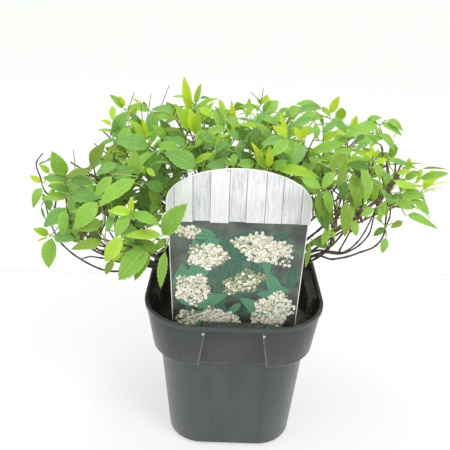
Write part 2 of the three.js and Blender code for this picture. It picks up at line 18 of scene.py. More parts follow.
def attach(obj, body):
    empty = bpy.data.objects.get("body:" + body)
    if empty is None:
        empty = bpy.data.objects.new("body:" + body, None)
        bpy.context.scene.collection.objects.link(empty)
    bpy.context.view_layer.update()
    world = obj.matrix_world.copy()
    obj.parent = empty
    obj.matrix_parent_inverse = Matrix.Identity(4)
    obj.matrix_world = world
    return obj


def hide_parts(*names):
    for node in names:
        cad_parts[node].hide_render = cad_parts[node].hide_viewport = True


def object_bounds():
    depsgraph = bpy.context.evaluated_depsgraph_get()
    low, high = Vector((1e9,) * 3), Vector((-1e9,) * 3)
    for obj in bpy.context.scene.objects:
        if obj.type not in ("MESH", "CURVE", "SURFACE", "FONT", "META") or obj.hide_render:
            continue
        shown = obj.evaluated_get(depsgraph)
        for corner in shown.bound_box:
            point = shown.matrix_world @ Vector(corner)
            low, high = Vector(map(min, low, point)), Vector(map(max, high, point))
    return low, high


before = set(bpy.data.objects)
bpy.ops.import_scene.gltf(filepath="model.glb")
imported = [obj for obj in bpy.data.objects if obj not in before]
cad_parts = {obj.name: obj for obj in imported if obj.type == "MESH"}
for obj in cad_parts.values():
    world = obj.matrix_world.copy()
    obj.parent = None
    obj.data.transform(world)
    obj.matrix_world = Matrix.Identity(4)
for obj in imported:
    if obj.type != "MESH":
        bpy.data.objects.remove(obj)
cad_box = [list(corner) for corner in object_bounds()]
MM = 0.001
print("frame box in mm:", [[round(value / MM, 1) for value in corner] for corner in cad_box])

# %% [markdown]
# ## Camera
# The view is from in front and a little above, as one looks down at a pot on a bench. A camera is easiest
# to place by the point it looks at, its distance and its height angle. A small roll tips the horizon, so
# the matrix is written from its own right, up and backward directions.

# %% Camera
LOOK_AT = Vector((-9.7, 0, 197.3)) * MM
CAMERA_DISTANCE = 480 * MM
CAMERA_HEIGHT_ANGLE = math.radians(25.75)
CAMERA_ROLL = math.radians(1.92)
LENS = 44.99  # on a sensor 36 wide

forward = Vector((0, math.cos(CAMERA_HEIGHT_ANGLE), -math.sin(CAMERA_HEIGHT_ANGLE)))
level_up = Vector((0, math.sin(CAMERA_HEIGHT_ANGLE), math.cos(CAMERA_HEIGHT_ANGLE)))
level_right = Vector((1, 0, 0))
right = math.cos(CAMERA_ROLL) * level_right + math.sin(CAMERA_ROLL) * level_up
up = math.cos(CAMERA_ROLL) * level_up - math.sin(CAMERA_ROLL) * level_right
bpy.ops.object.camera_add()
camera = bpy.context.object
camera.name = "bench_camera"
camera.data.lens = LENS
turn = Matrix((right, up, -forward)).transposed().to_4x4()
camera.matrix_world = Matrix.Translation(LOOK_AT - forward * CAMERA_DISTANCE) @ turn
bpy.context.scene.camera = camera
print("camera stands at", [round(value, 3) for value in camera.location])

# %% [markdown]
# ## Shader arithmetic
# A material is a graph of small nodes. Writing each node by hand hides the idea, so one class wraps a
# socket and lets it be added and multiplied like a number. Every other node comes from one method, which
# sets the node's own settings first and then its sockets, by value or by link.


# %% A socket that does arithmetic
class Wire:
    """One output of a material's node tree. Arithmetic on it adds Math nodes."""

    def __init__(self, tree, socket=None):
        self.tree = tree
        self.socket = socket

    def node(self, kind, settings=None, inputs=None, out=0):
        made = self.tree.nodes.new(kind)
        for name, value in (settings or {}).items():
            if name == "stops":
                self.fill_ramp(made.color_ramp, value)
            else:
                setattr(made, name, value)
        for name, value in (inputs or {}).items():
            if isinstance(value, Wire):
                self.tree.links.new(value.socket, made.inputs[name])
            else:
                made.inputs[name].default_value = value
        return Wire(self.tree, made.outputs[out])

    @staticmethod
    def fill_ramp(ramp, stops):
        while len(ramp.elements) < len(stops):
            ramp.elements.new(0.5)
        for element, (place, color) in zip(ramp.elements, stops):
            element.position = place
            element.color = (*color, 1)

    def math(self, operation, *others):
        """A Math node that takes this wire first."""
        return self.node("ShaderNodeMath", {"operation": operation}, dict(enumerate((self, *others))))

    def __add__(self, other):
        return self.math("ADD", other)

    def __sub__(self, other):
        return self.math("SUBTRACT", other)

    def __rsub__(self, other):
        return self * -1 + other

    def __mul__(self, other):
        return self.math("MULTIPLY", other)

    def __truediv__(self, other):
        return self.math("DIVIDE", other)

    __radd__ = __add__
    __rmul__ = __mul__

    def above(self, edge, soft):
        """0 below the edge and 1 above it, with a soft step of that width."""
        settings = {"interpolation_type": "SMOOTHSTEP"}
        inputs = {"Value": self, "From Min": edge - soft / 2, "From Max": edge + soft / 2}
        return self.node("ShaderNodeMapRange", settings, inputs)

    def below(self, edge, soft):
        return 1 - self.above(edge, soft)

    def ramp(self, *stops):
        return self.node("ShaderNodeValToRGB", {"stops": stops}, {"Fac": self})

    def mix(self, first, second):
        """The first color where this is 0, and the second where it is 1."""
        colors = [(*c, 1) if isinstance(c, tuple) else c for c in (first, second)]
        return self.node("ShaderNodeMix", {"data_type": "RGBA"}, {0: self, 6: colors[0], 7: colors[1]}, out=2)

    def noise(self, scale, detail=3, roughness=0.5):
        inputs = {"Vector": self, "Scale": scale, "Detail": detail, "Roughness": roughness}
        return self.node("ShaderNodeTexNoise", None, inputs)

    def bump(self, strength, distance):
        return self.node("ShaderNodeBump", None, {"Height": self, "Strength": strength, "Distance": distance})

    def stretched(self, *scale):
        """This place, scaled along each axis, so that a pattern on it is drawn out."""
        return self.node("ShaderNodeMapping", None, {"Vector": self, "Scale": scale})

    def cells(self, scale):
        return self.node("ShaderNodeTexVoronoi", None, {"Vector": self, "Scale": scale})

    def split(self):
        return [self.node("ShaderNodeSeparateXYZ", None, {0: self}, out=axis) for axis in range(3)]


def new_material(name, base, roughness, **constants):
    """A material, its wire, its surface shader, and the place of a point on the object."""
    material = bpy.data.materials.new(name)
    material.use_nodes = True
    tree = material.node_tree
    shader = tree.nodes["Principled BSDF"]
    shader.inputs["Base Color"].default_value = (*base, 1)
    shader.inputs["Roughness"].default_value = roughness
    for socket, value in constants.items():
        shader.inputs[socket.replace("_", " ")].default_value = value
    place = Wire(tree).node("ShaderNodeTexCoord", out=3)
    return material, shader, place


def feed(shader, **wires):
    """Links wires to a shader's sockets, such as Base_Color."""
    for socket, wire in wires.items():
        wire.tree.links.new(wire.socket, shader.inputs[socket.replace("_", " ")])


# %% [markdown]
# ## Stage
# The light is soft, from a bright sky, whitest at its foot, and three large lamps. The floor is one plane, far
# larger than the view. It is a lit table, so most of its brightness is its own glow and shadows on it stay
# faint. A seam runs across it behind the pot.

# %% Floor
bpy.context.scene.view_settings.view_transform = "Standard"
FLOOR_SIZE = 60.0
FLOOR_BASE = (0.16, 0.16, 0.158)
NEAR_BASE = (0.32, 0.32, 0.317)  # round the pot, where its shadow lies
FRONT_GLOW = (0.775, 0.776, 0.768)
BACK_GLOW = (0.768, 0.796, 0.758)
NEAR_GLOW = (0.575, 0.577, 0.571)
NEAR_EDGE = (240 * MM, 260 * MM)  # radius, and how softly it ends
SEAM_Y = 253.5 * MM
SEAM_SLOPE = 0.053
SEAM_HALF = 1.6 * MM
SEAM_GLOW = (0.66, 0.67, 0.66)
bpy.ops.object.select_all(action="DESELECT")
bpy.ops.mesh.primitive_plane_add(size=FLOOR_SIZE)
floor = bpy.context.object
floor.name = "studio_floor"
floor_paint, floor_shader, floor_place = new_material("lit_floor", FLOOR_BASE, 0.7, Emission_Strength=1)
floor_x, floor_y, _ = floor_place.split()
past_seam = floor_y - floor_x * SEAM_SLOPE - SEAM_Y
is_seam = past_seam.math("ABSOLUTE").below(SEAM_HALF, 1.2 * MM)
far_glow = past_seam.above(0, 2 * MM).mix(FRONT_GLOW, BACK_GLOW)
near_pot = (floor_x * floor_x + floor_y * floor_y).math("SQRT").below(*NEAR_EDGE)
feed(
    floor_shader,
    Base_Color=near_pot.mix(FLOOR_BASE, NEAR_BASE),
    Emission_Color=is_seam.mix(near_pot.mix(far_glow, NEAR_GLOW), SEAM_GLOW),
)
floor.data.materials.append(floor_paint)
print("floor:", FLOOR_SIZE, "m a side")

# %% Sky
SKY_STRENGTH = 0.8
SKY_WHITE = (1.0, 1.0, 0.99)
SKY_FOOT = (1.26, 1.26, 1.25)
SKY_EDGE = (0.22, 0.08)  # the height where the whitest foot ends, and how softly
world = bpy.data.worlds.new("pale_sky")
world.use_nodes = True
sky_shader = world.node_tree.nodes["Background"]
sky_shader.inputs["Strength"].default_value = SKY_STRENGTH
sky_height = Wire(world.node_tree).node("ShaderNodeTexCoord").split()[2]
feed(sky_shader, Color=sky_height.above(*SKY_EDGE).mix(SKY_FOOT, SKY_WHITE))
bpy.context.scene.world = world
print("sky strength:", SKY_STRENGTH)

# %% Lamps
LAMPS = {
    "key_lamp": {"place": (0.7, -0.8, 1.5), "size": 0.6, "power": 17},
    "fill_lamp": {"place": (-1.2, -0.6, 1.0), "size": 1.0, "power": 6},
    "top_lamp": {"place": (-0.3, 0.6, 1.7), "size": 0.6, "power": 9},
}
for name, lamp in LAMPS.items():
    bpy.ops.object.light_add(type="AREA", location=lamp["place"])
    light = bpy.context.object
    light.name = name
    light.data.size = lamp["size"]
    light.data.energy = lamp["power"]
    light.rotation_euler = (LOOK_AT - light.location).to_track_quat("-Z", "Y").to_euler()
print("lamps:", ", ".join(LAMPS))

# %% [markdown]
# ## Measures of the pot
# The pot's plastic has a painted highlight along the edges of its collar and grips, so its measures come
# before the finishes. A row gives the pot's half width, a height and the radius of the corners there.

# %% Measures of the pot
POT_HEIGHT = 145 * MM
POT_WALL = 1.6 * MM
COLLAR_BOTTOM = 102 * MM
LIP_HEIGHT = 3.5 * MM
LIP_OUT = 0.9 * MM
RIM_HALF = 75 * MM
COLLAR_FOOT_HALF = 68.5 * MM
COLLAR_SHOULDER = COLLAR_BOTTOM + 2 * MM
POT_ROWS = [
    (52 * MM, 0, 29 * MM),
    (56 * MM, 4 * MM, 31 * MM),
    (62.5 * MM, COLLAR_BOTTOM - 1 * MM, 31 * MM),
    (67.5 * MM, COLLAR_BOTTOM, 36 * MM),
    (COLLAR_FOOT_HALF, COLLAR_SHOULDER, 36 * MM),
    (RIM_HALF - LIP_OUT, POT_HEIGHT - LIP_HEIGHT, 44 * MM),
]
LIP_ROWS = [(RIM_HALF, POT_HEIGHT - LIP_HEIGHT, 44 * MM), (RIM_HALF, POT_HEIGHT, 44 * MM)]
GRIP_TOP_HALF = 22.5 * MM
GRIP_FOOT_HALF = 28.5 * MM
GRIP_TOP = 140.5 * MM
GRIP_FLOOR = 64.6 * MM
print("pot:", len(POT_ROWS + LIP_ROWS), "rows")

# %% [markdown]
# ## Finishes
# Each finish has the grain of the real thing: plastic is mottled and a little scuffed, compost is crumbly,
# bark has fine ridges and pale pores, and a leaf has a midrib and side veins. They read the place on the
# object, or the leaf's own UV map.


# %% Pot plastic
GRIP_LEAN = (GRIP_FOOT_HALF - GRIP_TOP_HALF) / (GRIP_TOP - COLLAR_BOTTOM)
COLLAR_LEAN = 0.149
# height of a painted highlight along the collar's foot
COLLAR_FOOT_HIGHLIGHT_HEIGHT = COLLAR_BOTTOM + 0.4 * MM
EARTHY_HEIGHT = 118 * MM
SCUFF_RADIUS = 1.9 * MM
CORNER_CORE = 31 * MM  # the corners' round begins this far from the middle
SCUFFS = [(-24 * MM, -74.2 * MM, 137 * MM), (23.6 * MM, -73.6 * MM, 136.5 * MM), (51.5 * MM, -71 * MM, 135.3 * MM)]


def pot_plastic():
    """Recycled dark grey plastic: cloudy, with painted highlights along the grips' edges and the collar's foot, and
    earthy inside.
    """
    material, shader, place = new_material("pot_plastic", (0.04, 0.044, 0.045), 0.38, Coat_Roughness=0.16)
    x, y, z = place.split()
    wide = x.math("ABSOLUTE").math("MAXIMUM", y.math("ABSOLUTE"))
    narrow = x.math("ABSOLUTE").math("MINIMUM", y.math("ABSOLUTE"))
    beside_grip = narrow - GRIP_TOP_HALF - (GRIP_TOP - z) * GRIP_LEAN
    on_collar = z.above(COLLAR_BOTTOM, 0.6 * MM) * z.below(GRIP_TOP + 0.1 * MM, 0.6 * MM)
    cloud = place.noise(28, 4, 0.6)
    streak = place.stretched(1, 1, 0.12).noise(140, 2)
    fleck = place.noise(75, 6, 0.7)
    # painted highlights: pale flecked lines along the grips' slanted edges and along the collar's foot
    grip_edge_highlight = beside_grip.math("ABSOLUTE").below(0.45 * MM, 0.4 * MM) * on_collar * fleck.above(0.42, 0.1)
    collar_foot_highlight = (z - COLLAR_FOOT_HIGHLIGHT_HEIGHT).math("ABSOLUTE").below(0.4 * MM, 0.4 * MM) * fleck.above(0.45, 0.1)
    in_grip = beside_grip.below(-1 * MM, 1 * MM) * on_collar * wide.below(GRIP_FLOOR + 1.4 * MM, 0.4 * MM)
    corner_x, corner_y = ((axis.math("ABSOLUTE") - CORNER_CORE).math("MAXIMUM", 0) for axis in (x, y))
    reach = (corner_x * corner_x + corner_y * corner_y).math("SQRT") + CORNER_CORE
    outside = (z - COLLAR_SHOULDER) * COLLAR_LEAN + COLLAR_FOOT_HALF
    pressed = beside_grip.below(0.8 * MM, 0.2 * MM) * wide.above(GRIP_FLOOR - 0.8 * MM, 0.2 * MM)
    pressed = pressed * z.below(GRIP_TOP + 0.5 * MM, 0.4 * MM)
    inner = (reach - outside).below(-POT_WALL / 2, 0.3 * MM) * (1 - pressed)
    within = inner * z.above(EARTHY_HEIGHT, 2 * MM)
    earth = place.noise(500, 5, 0.7).ramp(
        (0.4, (0.012, 0.011, 0.011)), (0.56, (0.055, 0.05, 0.046)), (0.68, (0.19, 0.18, 0.165))
    )
    scuff = fleck.above(0.715, 0.03)
    for spot in SCUFFS:
        away = place.node("ShaderNodeVectorMath", {"operation": "DISTANCE"}, {0: place, 1: spot}, out=1)
        scuff = scuff.math("MAXIMUM", (away + fleck * 0.001).below(SCUFF_RADIUS, 0.5 * MM))
    base = (0.6 * cloud + 0.4 * streak).ramp((0.35, (0.026, 0.032, 0.034)), (0.7, (0.051, 0.06, 0.062)))
    dimmed = (0.45 * on_collar).mix(base, (0.012, 0.014, 0.015))
    browned = (in_grip * cloud.above(0.5, 0.2) * 0.55).mix(dimmed, (0.06, 0.044, 0.038))
    # the painted highlights are mixed into the plastic's colour here
    highlighted = (0.55 * grip_edge_highlight + 0.3 * collar_foot_highlight).mix(browned, (0.2, 0.205, 0.2))
    feed(
        shader,
        Base_Color=within.mix(scuff.mix(highlighted, (0.5, 0.49, 0.46)), earth),
        Roughness=0.2 + 0.3 * cloud + 0.2 * scuff + 0.5 * within,
        Coat_Weight=0.2 * (1 - within),
        Normal=(place.noise(900, 2) + 2 * streak + 1.5 * place.noise(60, 2)).bump(0.16, 0.0004),
    )
    return material


# %% Compost
def compost_earth():
    """Dark moist peat: nearly black, with brown fibres and a few wet glints."""
    material, shader, place = new_material("compost_earth", (0.016, 0.012, 0.009), 0.85)
    grain = place.noise(420, 6, 0.7)
    base = grain.ramp((0.35, (0.015, 0.013, 0.012)), (0.58, (0.07, 0.058, 0.048)), (0.8, (0.2, 0.165, 0.13)))
    feed(shader, Base_Color=base, Roughness=1.1 - 0.5 * grain, Normal=grain.bump(0.9, 0.0012))
    return material


# %% Bark
def bark(name, dark, light):
    """Thin bark of young wood: long flakes of two tones, fine ridges, and small pale pores."""
    material, shader, place = new_material(name, dark, 0.7)
    flake = place.noise(260, 5, 0.65)
    is_pore = place.cells(420).below(0.16, 0.08)
    base = flake.ramp((0.3, dark), (0.72, light))
    feed(
        shader,
        Base_Color=is_pore.mix(base, tuple(min(1, 2.2 * value) for value in light)),
        Roughness=0.5 + 0.35 * flake,
        Normal=(flake + 0.5 * is_pore).bump(0.6, 0.0005),
    )
    return material


# %% Leaves
RIB_WIDTH = 0.05  # half widths of the midrib and the side veins, as shares of the leaf's own map
SIDE_VEINS = 9
VEIN_SLANT = 0.34  # how far a side vein runs forward on its way to the edge


def leaf_green(name, base, rib, roughness=0.42, glow=0.22):
    """One tint of leaf: painted shade in the sunk side veins with paler pillows between, a paler midrib and margin,
    light passing through.
    """
    material, shader, place = new_material(name, base, roughness, Specular_IOR_Level=0.32)
    tree = material.node_tree
    leaf_map = place.node("ShaderNodeUVMap", {"uv_map": "UVMap"})
    across_leaf, along_leaf, _ = leaf_map.split()
    from_rib = (across_leaf - 0.5).math("ABSOLUTE") * 2
    is_rib = from_rib.below(RIB_WIDTH, RIB_WIDTH)
    is_margin = from_rib.above(0.9, 0.14)
    pillow = ((along_leaf - from_rib * VEIN_SLANT) * SIDE_VEINS).math("PINGPONG", 0.5) * 2
    mottle = place.noise(90, 3)
    # painted shade and highlight: this darkens the sunk veins and lightens the pillows and the blade's outer
    # halves; the mottle is the leaf's own tone
    light = 0.45 * pillow + 0.55 * mottle + 0.2 * from_rib
    tint = light.ramp((0.25, tuple(0.74 * value for value in base)), (0.85, tuple(1.2 * value for value in base)))
    edged = (0.4 * is_margin).mix(tint, rib)
    relief = pillow * 0.8 - is_rib + mottle * 0.3
    feed(
        shader,
        Base_Color=(0.75 * is_rib).mix(edged, rib),
        Roughness=roughness - 0.08 + 0.16 * mottle,
        Normal=relief.bump(0.45, 0.0005),
    )
    through = tree.nodes.new("ShaderNodeBsdfTranslucent")
    through.inputs["Color"].default_value = (1.25 * base[0] + 0.06, min(1, 1.3 * base[1]), 0.6 * base[2], 1)
    blend = tree.nodes.new("ShaderNodeMixShader")
    blend.inputs[0].default_value = glow
    tree.links.new(shader.outputs[0], blend.inputs[1])
    tree.links.new(through.outputs[0], blend.inputs[2])
    tree.links.new(blend.outputs[0], tree.nodes["Material Output"].inputs["Surface"])
    return material


# %% Make the finishes
POT_PLASTIC = pot_plastic()
COMPOST = compost_earth()
WOOD = bark("stem_bark", (0.03, 0.018, 0.016), (0.11, 0.066, 0.052))
YOUNG_WOOD = bark("twig_bark", (0.06, 0.034, 0.022), (0.19, 0.115, 0.06))
GREEN_SHOOT = bark("green_shoot", (0.2, 0.27, 0.05), (0.34, 0.42, 0.1))
DEAD_WOOD = bark("bare_twig_bark", (0.07, 0.06, 0.052), (0.2, 0.18, 0.16))
LEAF_TINTS = {
    # the deep tint is a leaf colour the plant has, and is also used as painted shade in the crown's depth
    "leaves_deep": leaf_green("leaf_deep", (0.09, 0.21, 0.03), (0.22, 0.38, 0.08)),
    "leaves_olive": leaf_green("leaf_olive", (0.17, 0.3, 0.03), (0.33, 0.43, 0.08)),
    "leaves_blue": leaf_green("leaf_blue", (0.165, 0.365, 0.075), (0.32, 0.54, 0.16)),
    "leaves_mid": leaf_green("leaf_mid", (0.23, 0.455, 0.062), (0.38, 0.6, 0.14)),
    "leaves_fresh": leaf_green("leaf_fresh", (0.35, 0.58, 0.048), (0.5, 0.68, 0.12)),
    "leaves_lime": leaf_green("leaf_lime", (0.5, 0.67, 0.045), (0.64, 0.76, 0.14), glow=0.35),
}
print("finishes:", len(bpy.data.materials))

# %% [markdown]
# ## Working by hand, in code
# The made pieces are modelled as at the screen: a primitive, edit-mode operators, then modifiers that are
# applied. A few helpers keep that short. They pick vertices by their place, bridge one ring to the next,
# and cut one solid with another.


# %% Modelling helpers
TOUCHING = 0.01 * MM  # places nearer than this count as one


def deselect():
    if bpy.context.mode != "OBJECT":
        bpy.ops.object.mode_set(mode="OBJECT")
    bpy.ops.object.select_all(action="DESELECT")


def select_only(piece):
    deselect()
    bpy.context.view_layer.objects.active = piece
    piece.select_set(True)


def edit(piece, action="DESELECT"):
    """Goes into edit mode on one piece, with nothing of it selected unless told to."""
    select_only(piece)
    bpy.ops.object.mode_set(mode="EDIT")
    bpy.ops.mesh.select_all(action=action)


def pick(piece, wanted):
    """Selects the vertices whose place passes a test, and the edges and faces between them."""
    shape = bmesh.from_edit_mesh(piece.data)
    for vertex in shape.verts:
        vertex.select_set(wanted(vertex.co))
    shape.select_flush_mode()
    bmesh.update_edit_mesh(piece.data)


def settle(piece):
    """Leaves the piece's object at the origin, with its place in its mesh."""
    select_only(piece)
    bpy.ops.object.transform_apply(location=True, rotation=True, scale=True)


def modify(piece, kind, **settings):
    """Adds a modifier and applies it."""
    select_only(piece)
    bpy.ops.object.modifier_add(type=kind)
    modifier = piece.modifiers[-1]
    for name, value in settings.items():
        setattr(modifier, name, value)
    bpy.ops.object.modifier_apply(modifier=modifier.name)


def cut(piece, cutter, operation="DIFFERENCE"):
    modify(piece, "BOOLEAN", object=cutter, operation=operation, solver="MANIFOLD")
    bpy.data.objects.remove(cutter)


def join(pieces, name):
    deselect()
    for piece in pieces:
        piece.select_set(True)
    bpy.context.view_layer.objects.active = pieces[0]
    bpy.ops.object.join()
    pieces[0].name = name
    return pieces[0]


def face_outward(piece):
    """Merges doubles and points every face outwards."""
    edit(piece, "SELECT")
    bpy.ops.mesh.remove_doubles(threshold=TOUCHING)
    bpy.ops.mesh.normals_make_consistent(inside=False)
    if bmesh.from_edit_mesh(piece.data).calc_volume(signed=True) < 0:
        bpy.ops.mesh.flip_normals()
    bpy.ops.object.mode_set(mode="OBJECT")


def round_edges(piece, width, steps, degrees):
    """Bevels the edges that turn by more than an angle."""
    sharp = math.radians(degrees)
    modify(piece, "BEVEL", width=width, segments=steps, limit_method="ANGLE", angle_limit=sharp)


def rough(place, grain):
    """Noise of several sizes added up; each row of grain gives a scale and its share."""
    return sum(share * noise.noise(place * scale) for scale, share in grain)


def smooth(piece, degrees):
    select_only(piece)
    bpy.ops.object.shade_smooth_by_angle(angle=math.radians(degrees))


def hand_over(piece, material, slot, *nodes):
    """Gives a finished piece its material, hangs it on the root and hides the imported parts it stands for."""
    piece.data.materials.clear()
    piece.data.materials.append(material)
    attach(piece, "root")
    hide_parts(*nodes)
    print(f"{piece.name}: {len(piece.data.polygons)} faces")


# %% [markdown]
# ## Nursery pot
# The pot is a square with rounded corners that grows towards a collar and a thin lip. Its section can't
# be turned on a lathe, so it is drawn as a stack of rounded squares. Each is a plane whose four corners are
# bevelled, and neighbours in the stack are bridged. The shape inside is the same stack moved in by the
# wall, and one is cut from the other.

# %% The stack of rounded squares
CORNER_STEPS = 12
ABOVE_RIM = 5 * MM


def ring(half, height, corner):
    """The edge of a square with rounded corners."""
    bpy.ops.mesh.primitive_plane_add(size=2 * half, location=(0, 0, height))
    piece = bpy.context.object
    settle(piece)
    edit(piece, "SELECT")
    bpy.ops.mesh.bevel(offset=corner, segments=CORNER_STEPS, affect="VERTICES")
    bpy.ops.mesh.select_all(action="SELECT")
    bpy.ops.mesh.delete(type="ONLY_FACE")
    bpy.ops.object.mode_set(mode="OBJECT")
    return piece


def stack(rows, name):
    """A closed solid through a stack of rings."""
    piece = join([ring(*row) for row in rows], name)
    edit(piece)
    shape = bmesh.from_edit_mesh(piece.data)
    around = len(shape.verts) // len(rows)
    for lower in range(len(rows) - 1):
        for vertex in shape.verts:
            vertex.select_set(lower * around <= vertex.index < (lower + 2) * around)
        shape.select_flush_mode()
        bmesh.update_edit_mesh(piece.data)
        bpy.ops.mesh.bridge_edge_loops()
        shape = bmesh.from_edit_mesh(piece.data)
        shape.verts.index_update()
    for end in (rows[0][1], rows[-1][1]):
        pick(piece, lambda place: abs(place.z - end) < TOUCHING)
        bpy.ops.mesh.edge_face_add()
    bpy.ops.object.mode_set(mode="OBJECT")
    face_outward(piece)
    return piece


def inside_rows(inset, top):
    """The pot's rows moved in by the wall, up to a height."""
    rows = [(half - inset, max(height, inset), corner - inset) for half, height, corner in POT_ROWS]
    half, height, corner = rows[-1]
    return [*rows, (RIM_HALF - LIP_OUT - inset, top, corner)] if top > height else rows


# %% The grips pressed into the collar
GRIP_BELOW = 12 * MM


def grip_cutter(grow):
    """Four trapezoid blocks, one over each side of the collar."""
    foot = COLLAR_BOTTOM - GRIP_BELOW
    middle = GRIP_FLOOR + RIM_HALF / 2 - grow
    blocks = []
    for side in range(4):
        bpy.ops.mesh.primitive_cube_add(size=1, location=(0, -middle, (foot + GRIP_TOP + grow) / 2))
        block = bpy.context.object
        block.scale = (2 * (GRIP_FOOT_HALF + grow), RIM_HALF, GRIP_TOP + grow - foot)
        settle(block)
        edit(block)
        pick(block, lambda place: place.z > COLLAR_BOTTOM)
        narrower = (GRIP_TOP_HALF + grow) / (GRIP_FOOT_HALF + grow)
        bpy.ops.transform.resize(value=(narrower, 1, 1), center_override=(0, 0, GRIP_TOP))
        bpy.ops.object.mode_set(mode="OBJECT")
        block.rotation_euler.z = side * math.pi / 2
        settle(block)
        blocks.append(block)
    return join(blocks, "grip_cutter")


# %% Put the pot together
DRAIN_RADIUS = 5 * MM
DRAIN_CIRCLE = 37 * MM


def nursery_pot():
    pot = stack([*POT_ROWS, *LIP_ROWS], "nursery_pot")
    cut(pot, grip_cutter(0))
    inside = stack(inside_rows(POT_WALL, POT_HEIGHT + ABOVE_RIM), "pot_inside")
    cut(inside, grip_cutter(POT_WALL))
    cut(pot, inside)
    for corner in range(4):
        angle = (corner + 0.5) * math.pi / 2
        place = (DRAIN_CIRCLE * math.cos(angle), DRAIN_CIRCLE * math.sin(angle), 0)
        bpy.ops.mesh.primitive_cylinder_add(radius=DRAIN_RADIUS, depth=4 * POT_WALL, location=place)
        cut(pot, bpy.context.object)
    face_outward(pot)
    round_edges(pot, 0.55 * MM, 3, 24)
    smooth(pot, 40)
    return pot


pot = nursery_pot()
hand_over(pot, POT_PLASTIC, "pot_plastic", "pot")
print("pot reaches", [round(value / MM, 1) for value in pot.dimensions])

# %% [markdown]
# ## Compost
# The filling is a block of peat with a rough top. A fine grid is pushed up and down by noise, extruded to
# the pot's floor, and kept only where the pot's inside is. A slot is left for the label's foot.

# %% The card's outline, which the label and its slot share
GAP = 0.3 * MM
LABEL_Y = -58 * MM
LABEL_THICK = 0.8 * MM
LABEL_SHOULDER = 243 * MM
LABEL_RISE = 27 * MM
LABEL_HEAD_HALF = 53.3 * MM
ARCH_STEPS = 64
# half width and height of each step down from the shoulder
LABEL_STEPS = [
    (53.3 * MM, 227.5 * MM),
    (51.9 * MM, 227.2 * MM),
    (49 * MM, 121 * MM),
    (15 * MM, 113 * MM),
    (11 * MM, 92 * MM),
]


def card_sheet(name, grow=0.0):
    """A flat upright card: half of a flattened circle, extruded down through each step."""
    place = (0, LABEL_Y, LABEL_SHOULDER)
    turn = (math.pi / 2, 0, 0)
    bpy.ops.mesh.primitive_circle_add(vertices=ARCH_STEPS, fill_type="NGON", location=place, rotation=turn)
    card = bpy.context.object
    card.name = name
    card.scale = (LABEL_HEAD_HALF + grow, LABEL_RISE + grow, 1)
    settle(card)
    edit(card, "SELECT")
    bpy.ops.mesh.bisect(plane_co=place, plane_no=(0, 0, 1), clear_inner=True)
    previous = LABEL_HEAD_HALF + grow, LABEL_SHOULDER
    for half, height in LABEL_STEPS:
        half += grow
        pick(card, lambda point: abs(point.z - previous[1]) < TOUCHING)
        bpy.ops.mesh.extrude_region_move(TRANSFORM_OT_translate={"value": (0, 0, height - previous[1])})
        bpy.ops.transform.resize(value=(half / previous[0], 1, 1), center_override=(0, LABEL_Y, height))
        previous = half, height
    bpy.ops.object.mode_set(mode="OBJECT")
    modify(card, "SOLIDIFY", thickness=LABEL_THICK + 2 * grow, offset=0)
    face_outward(card)
    return card


# %% The filling
SOIL_TOP = 126 * MM
SOIL_RELIEF = 2.6 * MM
SOIL_GRAIN = [(38, 0.7), (170, 0.45), (420, 0.3)]  # clods, lumps and crumbs
SOIL_GRID = 110


def compost_block():
    inset = POT_WALL + GAP
    bpy.ops.mesh.primitive_grid_add(x_subdivisions=SOIL_GRID, y_subdivisions=SOIL_GRID, size=2 * RIM_HALF)
    block = bpy.context.object
    block.name = "compost_filling"
    for vertex in block.data.vertices:
        vertex.co.z = SOIL_TOP + SOIL_RELIEF * rough(vertex.co, SOIL_GRAIN)
    edit(block, "SELECT")
    bpy.ops.mesh.extrude_region_move(TRANSFORM_OT_translate={"value": (0, 0, -SOIL_TOP)})
    bpy.ops.transform.resize(value=(1, 1, 0), center_override=(0, 0, -RIM_HALF))
    bpy.ops.object.mode_set(mode="OBJECT")
    face_outward(block)
    inside = stack(inside_rows(inset, POT_HEIGHT), "compost_inside")
    cut(inside, grip_cutter(inset))
    cut(block, inside, "INTERSECT")
    cut(block, card_sheet("label_slot", GAP))
    face_outward(block)
    smooth(block, 50)
    return block


compost = compost_block()
hand_over(compost, COMPOST, "compost", "compost")

# %% [markdown]
# ## Picture label
# The card is printed on its front only. Its head shows white painted boards, and below them is a dim green
# ground with leaves and heads of tiny cream flowers. The boards and the ground are worked out in the
# material from the place on the card. The leaves and flowers are thin shapes laid on it, a few hundredths
# of a millimetre apart, because shapes can be scattered and overlapped freely.

# %% What the card's own material prints
BOARD_WIDTH = 13.15 * MM
BOARD_GAP = 0.03  # as a share of a board's width
BOARD_SHIFT = 20.567  # in boards
PICTURE_TOP = 227.6 * MM
PICTURE_FOOT = 121 * MM
PICTURE_FOOT_HALF = 49 * MM
PICTURE_LEAN = 0.0273  # the sides spread by this much for each step up
PRINT_FRONT = LABEL_Y - 0.3 * MM
MARGIN = 0.7 * MM
CARD_WHITE = (0.8, 0.81, 0.78)
CARD_BACK = (0.82, 0.82, 0.8)


